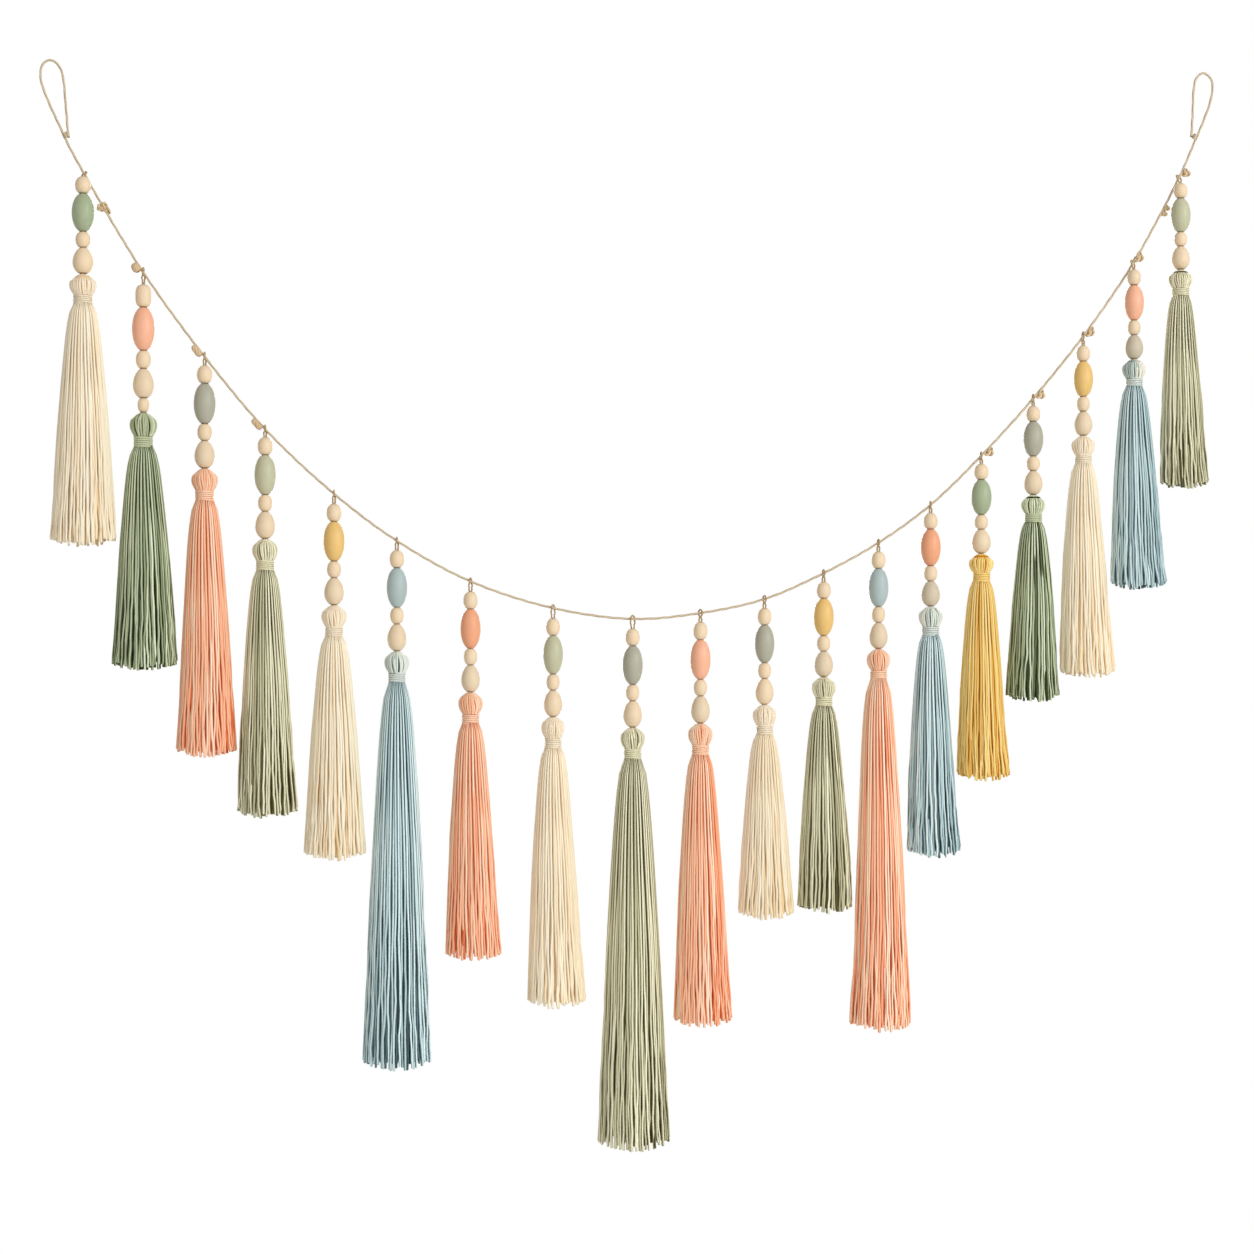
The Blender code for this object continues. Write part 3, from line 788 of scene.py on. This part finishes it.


# Hanger threads: a twisted loop round the twine, a string through the beads, and a knot and one turn of
# thread under the last bead, wide, flat and dark as a painted shadow above the head

hangerLook = {
    "threadRadius": 0.0006,
    "turnLimit": math.radians(40),
    "gap": 0.0003,
    "swing": math.radians(60),
    "front": {0, 17, 18},
    "arcPoints": 15,
    "legPoints": 10,
    "room": 1.04,
    "eye": 0.0014,  # half the eye's width, under level twine
    "steepEye": 0.55,  # the share of it that is lost under upright twine
    "legEnd": 0.0002,  # from the middle to each leg, at the bead
    "loopStep": 0.0004,
    "stringStep": 0.02,
    "lay": {"plies": 2, "plyWidth": 0.00098, "plyOffset": 0.00026, "turn": 0.0038},
    "stringWidth": 0.0016,
    "shadowKnotHeight": 0.0002,  # the knot under the last bead, just clear of the head, wide and flat as a painted shadow line
    "shadowKnotWidth": 0.0048,
    "shadowTurnRadius": 0.0023,  # one dark turn of thread round that knot, a painted shadow line under the bead
    "shadowTurnWidth": 0.00042,
}


def leastShare(normal, direction, inFront):
    # How little the loop's plane faces the twine at the worst of the swing, which sets its size
    farthest = 0.0 if inFront else hangerLook["swing"]
    swings = np.linspace(-hangerLook["swing"], farthest, 13)
    return min(abs((Matrix.Rotation(swing, 3, "X") @ normal).dot(direction)) for swing in swings)


def hangerLine(layout):
    # The same loop as the solid's: an arc round the twine with straight legs to the bead's hole
    look = hangerLook
    hang, inFront = hangs[layout["number"]], layout["number"] in look["front"]
    place, direction = placeAlong(hang, 0.0)
    foot = Vector((0, layout["axis"].y, layout["top"] - 2 * look["threadRadius"] - hang.z))
    slope = math.atan2(abs(direction.z), abs(direction.x))
    if inFront:
        toward = foot.normalized()
        normal = (direction - direction.dot(toward) * toward).normalized()
    else:
        turn = max(look["turnLimit"] - slope, 0.0)
        side = 1 if direction.z > 0 else -1
        normal = Vector((math.cos(turn), side * math.sin(turn), 0))
    clear = twineLook["width"] / 2 + look["threadRadius"] + look["gap"]
    radius = clear / leastShare(normal, direction, inFront) * look["room"]
    down = foot.normalized()
    across = normal.cross(down).normalized()
    half = math.acos(min(radius / foot.length, 0.98))
    angles = np.linspace(half, 2 * math.pi - half, look["arcPoints"])
    arc = [radius * (math.cos(angle) * down + math.sin(angle) * across) for angle in angles]
    leg = []
    if not inFront:
        eye = look["eye"] * (1 - look["steepEye"] * abs(direction.z))
        start, spread = arc[0].dot(down), arc[0].dot(across)
        for step in range(1, look["legPoints"]):
            t = step / look["legPoints"]
            turned = math.pi / 2 * float(smoothStep(0.05, 0.6, t))
            wide = spread + (eye - spread) * float(smoothStep(0, 0.5, t))
            wide = wide + (look["legEnd"] - wide) * float(smoothStep(0.7, 1, t))
            aside = wide * (math.cos(turned) * across + math.sin(turned) * normal)
            leg.append((down * (start + (foot.length - start) * t), aside))
    near = [place + aside for place, aside in leg]
    far = [place - aside for place, aside in leg]
    points = [foot] + near[::-1] + arc + far
    return [hang + point for point in points], normal, hang + foot


def makeHanger(layout):
    look = hangerLook
    points, normal, foot = hangerLine(layout)
    lay = dict(look["lay"], side=np.array(tuple(normal)))
    plies = twistedPlies(evenly(points, look["loopStep"], closed=True), lay, closed=True)
    loop = drawTubes("loop", plies, 0, closed=True)
    under = Vector((layout["axis"].x, layout["axis"].y, layout["foot"]))
    rise = Vector((0, 0, look["shadowKnotHeight"]))
    string = evenly([foot, under - rise / 2], look["stringStep"])
    knot = evenly([under, under - rise], look["stringStep"])
    lines = [(string, look["stringWidth"], plainTone), (knot, look["shadowKnotWidth"], plainTone)]
    core = drawTubes("string", lines, 2)
    # Painted shade: the dark turn and the flat knot fill the gap between the last bead and the head
    radius = look["shadowTurnRadius"] * layout["girth"]
    level = under.z - look["shadowTurnWidth"] / 2 - beadLook["grown"]
    angles = np.linspace(0, 2 * math.pi, 20, endpoint=False)
    circle = besideAxis(under, radius, angles, level)
    turn = drawTubes("turn", [(circle, look["shadowTurnWidth"], plainTone)], 1, closed=True)
    return joinPieces(f"hanger_thread_{layout['label']}", [loop, core, turn])


for layout in layouts:
    label = layout["label"]
    hanger = makeHanger(layout)
    dress(hanger, threadFinish, f"strand_{label}", "twine", f"bead_strand_{label}")
print("hanger threads looped")


# Tassels

# Strands against the outer ones, steps aside, how far they move over, radius shares, where they rise
layerNames = ("strands", "aside", "over", "shoulder", "hem", "rise", "risen", "points", "tone")
tasselLook = {
    "headRadius": 0.0096,
    "headHeight": 0.0160,
    "headGap": 0.0005,
    "headStrands": 30,
    "headPitch": 0.97,  # a strand's width against its share of the way round
    "headThin": 0.62,  # its width where the head is thinnest, against its full width
    "headCap": 0.3,  # how far its middle lies under the top, against its width
    "headHole": 0.4,
    "headLean": 0.12,
    "tilt": math.radians(43),  # the tassel's 25 degrees, and as far as the turn of thread reaches
    "tiltRoom": 0.0002,  # how far above its own top a tilting head may reach
    # shares of the height and of the radius
    "headShape": [
        (0.0, 0.22), (0.035, 0.48), (0.12, 0.70), (0.27, 0.90), (0.46, 1.0),
        (0.64, 0.99), (0.82, 0.90), (0.95, 0.78), (1.05, 0.70),
    ],
    "coreTop": 0.06,
    "coreDepth": 0.16,
    "coreReach": 0.004,
    "neckRadius": 0.0071,
    "neckHeight": 0.0084,
    "neckCore": 0.84,
    "neckWraps": 4.7,
    "neckSteps": 28,
    "neckTuck": 0.0004,
    "strandWidth": 0.00212,
    "spacing": 0.00225,  # at the shoulder, this share of the way down the skirt
    "shoulder": 0.13,
    # half of the outer strands, the other half, which move over for those that come up between
    # them, two layers that come up in turn, and the dark ones inside, whose dark tone is painted shade
    "layers": [dict(zip(layerNames, row)) for row in (
        (0.5, 0.0, 0.0, 0.98, 0.975, 0.13, 0.8, 26, 0.72),
        (0.5, 0.5, 0.165, 0.98, 0.975, 0.13, 0.8, 26, 0.72),
        (0.5, 0.25, 0.083, 0.80, 0.965, 0.13, 0.50, 26, 0.66),
        (0.5, 0.75, 0.0, 0.80, 0.955, 0.48, 0.95, 26, 0.66),
        (1.0, 0.25, 0.0, 0.84, 0.88, 0.13, 0.8, 14, 0.10),
        (0.6, 0.0, 0.0, 0.62, 0.70, 0.13, 0.8, 10, 0.05),
        (0.3, 0.0, 0.0, 0.34, 0.40, 0.13, 0.8, 8, 0.05),
    )],
    "strayLayer": dict(zip(layerNames, (0, 0, 0, 0.97, 1.02, 0.13, 0.8, 26, 0.7))),
    "straySides": (0, math.pi, math.pi),
    "coreShare": 0.76,
    # the skirt's core is dark: painted shade between the strands
    "coreShadeTone": 0.12,
    "coreShort": 0.014,
    "insideTone": 0.3,  # the layers darker than this are inside, and shorter
    "shortInside": 0.004,
    "toneSpread": 0.13,
    "paler": 0.22,  # some single strands are this much paler
    "paleShare": 0.17,
    "toneShifts": [
        0.08, 0, -0.03, 0, 0.02, 0.02, -0.09, -0.05, 0.03, -0.09,
        -0.03, -0.04, 0.02, -0.02, 0, -0.05, -0.07, -0.03, -0.09,
    ],
    "headShifts": {1: -0.05, 15: 0.10, 17: -0.24, 18: 0.08},
    "palePatch": {17},
    "patchTurn": (4.95, 6.2),
    "waves": ((0.085, 1.4), (0.036, 0.8), (0.018, 0.5)),  # length, weight
    "sway": 0.00036,
    "swayFrom": (0.25, 1.05),
    "bunchLean": 0.014,
    "cutEnd": (0.0005, 0.55),  # the length of a cut end's taper, and how thin it gets
    "ragged": 0.0040,
    "arch": 0.0050,
}
yarnColours = {
    # deep (painted shade of the inner strands and creases), middle, pale and palest strands
    "cream_yarn": ((0.88, 0.66, 0.38), (0.97, 0.83, 0.61), (1.0, 0.93, 0.75), (1.0, 0.96, 0.83)),
    "fern_yarn": ((0.018, 0.026, 0.005), (0.28, 0.34, 0.185), (0.70, 0.77, 0.55), (0.86, 0.90, 0.70)),
    "coral_yarn": ((0.74, 0.14, 0.035), (1.0, 0.50, 0.30), (1.0, 0.76, 0.56), (1.0, 0.85, 0.68)),
    "sage_yarn": ((0.06, 0.045, 0.01), (0.55, 0.53, 0.33), (0.96, 0.93, 0.70), (0.99, 0.96, 0.76)),
    "blue_yarn": ((0.025, 0.06, 0.07), (0.44, 0.60, 0.63), (0.80, 0.96, 0.98), (0.90, 0.93, 0.86)),
    "yellow_yarn": ((0.56, 0.20, 0.004), (0.90, 0.57, 0.15), (0.98, 0.75, 0.29), (1.0, 0.82, 0.36)),
}
yarnShapes = {
    # the tone of the folded head, how full the strands are, and how deep the painted shade in their creases
    # is
    "cream_yarn": (0.64, 0.97, 1.1),
    "fern_yarn": (0.74, 0.86, 2.4),
    "coral_yarn": (0.62, 0.94, 1.5),
    "sage_yarn": (0.68, 0.86, 2.1),
    "blue_yarn": (0.80, 0.87, 2.1),
    "yellow_yarn": (0.62, 0.95, 1.5),
}
# how deep the painted shade in the creases of heads and neck threads is
headCreaseShade = 1.1
yarnTints = {
    # head, neck
    "cream_yarn": ((0.94, 0.93, 0.95), (0.91, 0.87, 0.84)),
    "fern_yarn": ((1.03, 1.0, 1.0), (0.93, 0.91, 0.84)),
    "coral_yarn": ((0.95, 1.07, 1.12), (0.99, 0.92, 0.89)),
    "sage_yarn": ((1.0, 0.98, 0.98), (0.91, 0.89, 0.83)),
    "blue_yarn": ((1.02, 0.90, 0.80), (0.97, 0.86, 0.79)),
    "yellow_yarn": ((1.05, 1.16, 1.45), (1.0, 0.95, 0.80)),
}


def yarnMaterial(name, colours, creaseShadeDepth, tint=(1, 1, 1), glossy=False):
    deep, middle, pale, palest = [tuple(min(1, c * t) for c, t in zip(colour, tint)) for colour in colours]
    shader = Shader(bpy.data.materials.new(name))
    spot = shader.threadSpot()
    stripe = shader.windingLines(spot, count=2, slant=200)
    fibres = shader.noise(shader.place(1, 1, 0.1), scale=1500)
    # Painted shade: each strand darker where its creases look sideways
    lit = (shader.attribute("facing") * 1.2).upTo(1.0) ** creaseShadeDepth * 0.85 + 0.15
    # Painted highlight: paler from some way down the thread to its cut end
    tipHighlight = {"Value": spot[1], "From Min": 0.085, "From Max": 0.12, "To Max": 0.08}
    tone = shader.attribute("tone") * lit + (fibres - 0.5) * 0.16 - stripe * 0.05
    tone = tone + shader.add("ShaderNodeMapRange", {}, tipHighlight)
    colour = shader.ramp(tone, (0, deep), (0.5, middle), (0.8, pale), (1, palest))
    normal = shader.bump(stripe * 0.6 + fibres * 0.4, distance=0.00006)
    rough, specular = (0.30, 0.5) if glossy else (0.55, 0.07)
    return shader.finish(Base_Color=colour, Roughness=rough, Specular_IOR_Level=specular, Normal=normal)


def skirtRows(layout, top):
    # (z, left, right, half depth) down the skirt, read from the solid's own rings of corners
    node = frame["nodes"][f"tassel_{layout['label']}"]
    corners = readField(node.data.vertices, "co", 3)
    corners = corners[corners[:, 2] < top - 0.001]
    corners = corners[np.argsort(-corners[:, 2])]
    rows, group = [], [corners[0]]
    for corner in list(corners[1:]) + [None]:
        if corner is not None and group[-1][2] - corner[2] < 0.003:
            group.append(corner)
            continue
        ring = np.array(group)
        depth = np.abs(ring[:, 1] - layout["axis"].y).max() / math.sin(math.radians(60))
        rows.append((ring[:, 2].mean(), ring[:, 0].min(), ring[:, 0].max(), depth))
        group = [corner]
    return rows


def skirtOutline(layout, top):
    # The rows as one smooth table from the neck to the hem
    look = tasselLook
    neck = look["neckRadius"] * layout["girth"] * 0.96
    x = layout["axis"].x
    rows = [(top, x - neck, x + neck, neck)] + skirtRows(layout, top)
    places = [Vector((row[0], row[1], row[2])) for row in rows]
    depths = [Vector((row[0], row[3], 0)) for row in rows]
    return asRows(smoothCurve(places, 10)), asRows(smoothCurve(depths, 10))


def skirtStrand(angle, step, lean, layer, outline, axisY, top, hem, full, dice):
    # One strand of yarn from the neck down the skirt, swaying a little more towards its cut end
    look = tasselLook
    sides, deep = outline
    share = 1 - (1 - np.linspace(0, 1, layer["points"])) ** 1.2
    length = top - hem
    z = top - share * length
    left, right, depth = atHeight(sides, z, 1), atHeight(sides, z, 2), atHeight(deep, z, 1)
    inner = look["strandWidth"] / 2
    middle, half = (left + right) / 2, (right - left) / 2 - inner
    loose = smoothStep(*look["swayFrom"], share)
    waves = np.zeros((2, layer["points"]))
    for row in range(2):
        for wave, weight in look["waves"]:
            turn = share * length / wave + dice.random()
            waves[row] += weight * np.sin(2 * math.pi * turn) * (0.5 + 0.9 * dice.random())
    waves *= look["sway"] * loose
    turned = angle + lean * smoothStep(0.15, 1.0, share)
    over = smoothStep(0.13, 0.50, share) * (1 - smoothStep(0.48, 0.95, share))
    turned += layer["over"] * 2 * step * over
    risen = smoothStep(layer["rise"], layer["risen"], share)
    out = layer["shoulder"] + (layer["hem"] - layer["shoulder"]) * risen
    out = out * (1 + dice.uniform(-0.035, 0.02) * loose)
    room = step * out * (half + depth - inner) / 2 * (full + (1 - full) * loose)
    x = np.clip(middle + half * out * np.cos(turned) + waves[0], middle - half, middle + half)
    y = axisY + (depth - inner) * out * np.sin(turned) + waves[1]
    width = np.minimum(look["strandWidth"] * dice.uniform(0.90, 1.06), room)
    taper, thin = look["cutEnd"]
    points = np.stack([x, y, z], axis=1)
    return np.vstack([points, points[-1] - (0, 0, taper)]), np.append(width, width[-1] * thin)


def makeSkirtCore(layout, outline, top, foot):
    # What shows between the strands: the bundle inside them, as one closed piece, dark as painted shade
    sides, deep = outline
    share = tasselLook["coreShare"]
    rings = [(top, 0.05)] + [(z, 1.0) for z in np.linspace(top, foot, 12)] + [(foot, 0.05)]
    core = turnProfile("skirt_core", rings, 24)
    for vertex in core.data.vertices:
        spot = vertex.co
        left, right = (float(atHeight(sides, spot.z, column)) for column in (1, 2))
        spot.x = (left + right) / 2 + spot.x * (right - left) / 2 * share
        spot.y = layout["axis"].y + spot.y * float(atHeight(deep, spot.z, 1)) * share
    setField(core, "tone", tasselLook["coreShadeTone"])
    return core


def makeSkirt(layout, top, dice):
    look, node = tasselLook, f"tassel_{layout['label']}"
    outline = skirtOutline(layout, top)
    sides, deep = outline
    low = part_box(node)[0].z
    shoulder = top + (low - top) * look["shoulder"]
    half = (atHeight(sides, shoulder, 2) - atHeight(sides, shoulder, 1)) / 2
    around = math.pi * (half + atHeight(deep, shoulder, 1))
    whole = 2 * round(around / look["spacing"] / 2)
    step = 2 * math.pi / whole
    start = dice.uniform(0, 2 * math.pi)
    full, shift = yarnShapes[nodeSlots[node]][1], look["toneShifts"][layout["number"]]
    lines = []

    def addStrand(angle, lean, layer):
        toned = layer["tone"]
        hem = low + 0.0005 + look["arch"] * (layer["hem"] * math.cos(angle)) ** 2
        hem += look["shortInside"] if toned < look["insideTone"] else 0.0
        hem += look["ragged"] * dice.random() ** 1.6
        line, width = skirtStrand(
            angle, step, lean, layer, outline, layout["axis"].y, top + 0.002, hem, full, dice)
        paler = look["paler"] if dice.random() < look["paleShare"] else 0.0
        tone = dice.gauss(toned, look["toneSpread"] * min(1, toned * 2)) + (paler + shift) * toned
        lines.append((line, width, min(0.98, max(0.0, tone))))

    for layer in look["layers"]:
        count = round(whole * layer["strands"])
        lean, bunch = look["bunchLean"], 0.0
        for strand in range(count):
            if strand % 3 == 0:
                bunch = dice.uniform(-lean, lean)
            angle = start + 2 * math.pi * (strand + layer["aside"] + dice.uniform(-0.06, 0.06)) / count
            addStrand(angle, bunch + dice.uniform(-lean, lean), layer)
    for side in look["straySides"]:
        addStrand(side + dice.uniform(-0.3, 0.3), 0.0, look["strayLayer"])
    strands = drawTubes("skirt_strands", lines, 1)
    core = makeSkirtCore(layout, outline, top, low + look["coreShort"])
    skirt = joinPieces(f"skirt_{layout['label']}", [strands, core])
    markFacing(skirt, layout["axis"])
    return skirt


def makeHead(layout, dice, paleness):
    # Yarn folded over the tie: strands from the hole at the top, over the ball and into the neck
    look, axis, number = tasselLook, layout["axis"], layout["number"]
    radius, height = look["headRadius"] * layout["girth"], look["headHeight"] * layout["tall"]
    top = layout["foot"] - look["headGap"]
    width = 2 * math.pi * radius / look["headStrands"] * look["headPitch"]
    cap = width * look["headCap"]
    outline = smoothCurve([Vector((share, wide, 0)) for share, wide in look["headShape"]], 3)
    share, wide = asRows(outline)[:, 0], asRows(outline)[:, 1]
    thick = width * (look["headThin"] + (1 - look["headThin"]) * np.minimum(1.0, wide))
    lines = []
    for strand in range(look["headStrands"]):
        angle = 2 * math.pi * (strand + dice.uniform(-0.2, 0.2)) / look["headStrands"]
        turned = angle + (look["headLean"] + dice.uniform(-0.16, 0.16)) * (share - 0.5)
        lift = dice.uniform(-0.04, 0.02) * np.sin(math.pi * np.minimum(share, 1))
        out = np.maximum(radius * (wide + lift) - width / 2, width * look["headHole"])
        rise = height / 2 - cap - share * (height - cap)
        # The top stays inside the round room that a tilting head turns in
        leaning = np.maximum(0, np.arctan2(out, rise) - look["tilt"])
        limit = (height / 2 + look["tiltRoom"]) / np.cos(np.minimum(leaning, 1)) - thick / 2
        kept = np.where(leaning < 1, np.minimum(1, limit / np.hypot(out, rise)), 1)
        points = besideAxis(axis, out * kept, turned, top - height / 2 + rise * kept)
        tone = dice.gauss(paleness + look["headShifts"].get(number, 0), 0.09)
        if number in look["palePatch"] and look["patchTurn"][0] < angle < look["patchTurn"][1]:
            tone = 1.0
        lines.append((points, thick, min(1.0, max(0.0, tone))))
    strands = drawTubes("head_strands", lines, 1)
    neck = look["neckRadius"] * layout["girth"] * look["neckCore"]
    foot = -height - look["neckHeight"] * layout["tall"] - look["coreReach"]
    rings = [(-look["coreTop"] * height, share * radius) for share in (0.02, 0.2)]
    for share, wide in look["headShape"][2:-2]:
        rings.append((-share * height, (wide - look["coreDepth"]) * radius))
    rings += [(-height * 1.02, neck), (foot, neck), (foot, 0.02 * radius)]
    core = turnProfile("head_core", rings, 20)
    core.data.transform(Matrix.Translation((axis.x, axis.y, top)))
    # The head's core takes the deepest colour: painted shade between its strands
    setField(core, "tone", 0.0)
    head = joinPieces(f"head_{layout['label']}", [strands, core])
    markFacing(head, (axis.x, axis.y, top - height * 0.5), False)
    return head


def makeNeckThread(layout):
    # One thread wound down the neck, its ends tucked under
    look, tall, wraps = tasselLook, layout["tall"], tasselLook["neckWraps"]
    thread = look["neckHeight"] * tall / (wraps + 0.9)
    top = layout["foot"] - look["headGap"] - look["headHeight"] * tall
    steps = round(wraps * look["neckSteps"])
    step = np.arange(-4, steps + 5)
    tucked = np.minimum(0, np.minimum(step, steps - step)) * look["neckTuck"]
    out = look["neckRadius"] * layout["girth"] - thread * 0.45 + tucked
    sink = thread * (0.55 + wraps * np.clip(step / steps, 0, 1))
    angle = 2 * math.pi * wraps * step / steps + layout["number"]
    points = besideAxis(layout["axis"], out, angle, top - sink)
    neck = drawTubes(f"neck_thread_{layout['label']}", [(points, thread * 0.96, 0.74)], 2)
    markFacing(neck, layout["axis"])
    return neck


yarns = {name: yarnMaterial(name, colours, yarnShapes[name][2]) for name, colours in yarnColours.items()}
headYarns, neckYarns = {}, {}
for name, (headTint, neckTint) in yarnTints.items():
    headYarns[name] = yarnMaterial(f"{name}_head", yarnColours[name], headCreaseShade, headTint)
    neckYarns[name] = yarnMaterial(f"{name}_neck", yarnColours[name], headCreaseShade, neckTint, True)
for layout in layouts:
    dice = random.Random(100 + layout["number"])
    body = f"tassel_{layout['label']}"  # and its node has the same name
    slot = nodeSlots[body]
    bound = (tasselLook["headHeight"] + tasselLook["neckHeight"]) * layout["tall"]
    skirt = makeSkirt(layout, layout["foot"] - tasselLook["headGap"] - bound, dice)
    dress(skirt, yarns[slot], body, slot, body)
    head = makeHead(layout, dice, yarnShapes[slot][0])
    dress(head, headYarns[slot], body, slot, body)
    neck = makeNeckThread(layout)
    dress(neck, neckYarns[slot], body, slot, body)
print("tassels tied")


# Studio: pale floor under the garland, white beyond it, soft lamps

studioLook = {
    "floorSize": 3.0,
    "floorDrop": 0.62,
    "floorGlow": 0.72,  # how far the floor looks white to the camera
    "ambient": 0.41,
    "ambientColour": (1.0, 0.95, 0.87, 1.0),
    "lamps": [
        # name, place, size, watts, colour
        ("keyLamp", (3.4, -2.9, 0.9), 2.1, 108, (0.95, 0.98, 1.0)),
        ("fillLamp", (0.4, -2.7, 0.1), 1.6, 17, (1.0, 1.0, 1.0)),
        ("backLamp", (0.1, 3.4, 0.2), 2.1, 90, (1.0, 1.0, 1.0)),
    ],
}


def addFloor(look):
    low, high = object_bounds()
    middle = (low + high) / 2
    bpy.ops.mesh.primitive_plane_add(size=look["floorSize"])
    floor = bpy.context.object
    floor.name = "floor"
    floor.data.transform(Matrix.Translation((middle.x, middle.y, low.z - look["floorDrop"])))
    shader = Shader(bpy.data.materials.new("floor"))
    speckle = shader.noise(shader.place(), scale=40)
    colour = shader.mix(speckle, (0.93, 0.93, 0.93), (0.96, 0.96, 0.96))
    floor.data.materials.append(shader.finish(Base_Color=colour, Roughness=0.9))
    seen = shader.add("ShaderNodeLightPath", {}, {}, "Is Camera Ray") * look["floorGlow"]
    glow = shader.add("ShaderNodeEmission", {}, {"Color": (1, 1, 1, 1)})
    shader.show("Material Output", seen, "Principled BSDF", glow)
    floor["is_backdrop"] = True


def setWorld(look):
    # Lit by the ambient colour, but white to the camera and in reflections
    world = bpy.data.worlds.new("studio")
    bpy.context.scene.world = world
    shader = Shader(world)
    light = shader.nodes["Background"]
    light.inputs["Color"].default_value = look["ambientColour"]
    light.inputs["Strength"].default_value = look["ambient"]
    seen = shader.add("ShaderNodeLightPath", {}, {}, "Is Camera Ray")
    seen = seen.maths("MAXIMUM", seen, shader.add("ShaderNodeLightPath", {}, {}, "Is Glossy Ray"))
    white = shader.add("ShaderNodeBackground", {}, {"Color": (1, 1, 1, 1)})
    shader.show("World Output", seen, "Background", white)


def addLamps(look):
    aim = Vector(cameraLook["target"])
    for name, place, size, watts, colour in look["lamps"]:
        bpy.ops.object.light_add(type="AREA", location=place)
        lamp = bpy.context.object
        lamp.name = name
        lamp.data.size = size
        lamp.data.energy = watts
        lamp.data.color = colour
        lamp.rotation_euler = (aim - Vector(place)).to_track_quat("-Z", "Y").to_euler()


addFloor(studioLook)
setWorld(studioLook)
addLamps(studioLook)
bpy.context.scene.view_settings.view_transform = "Standard"
print("studio lit")
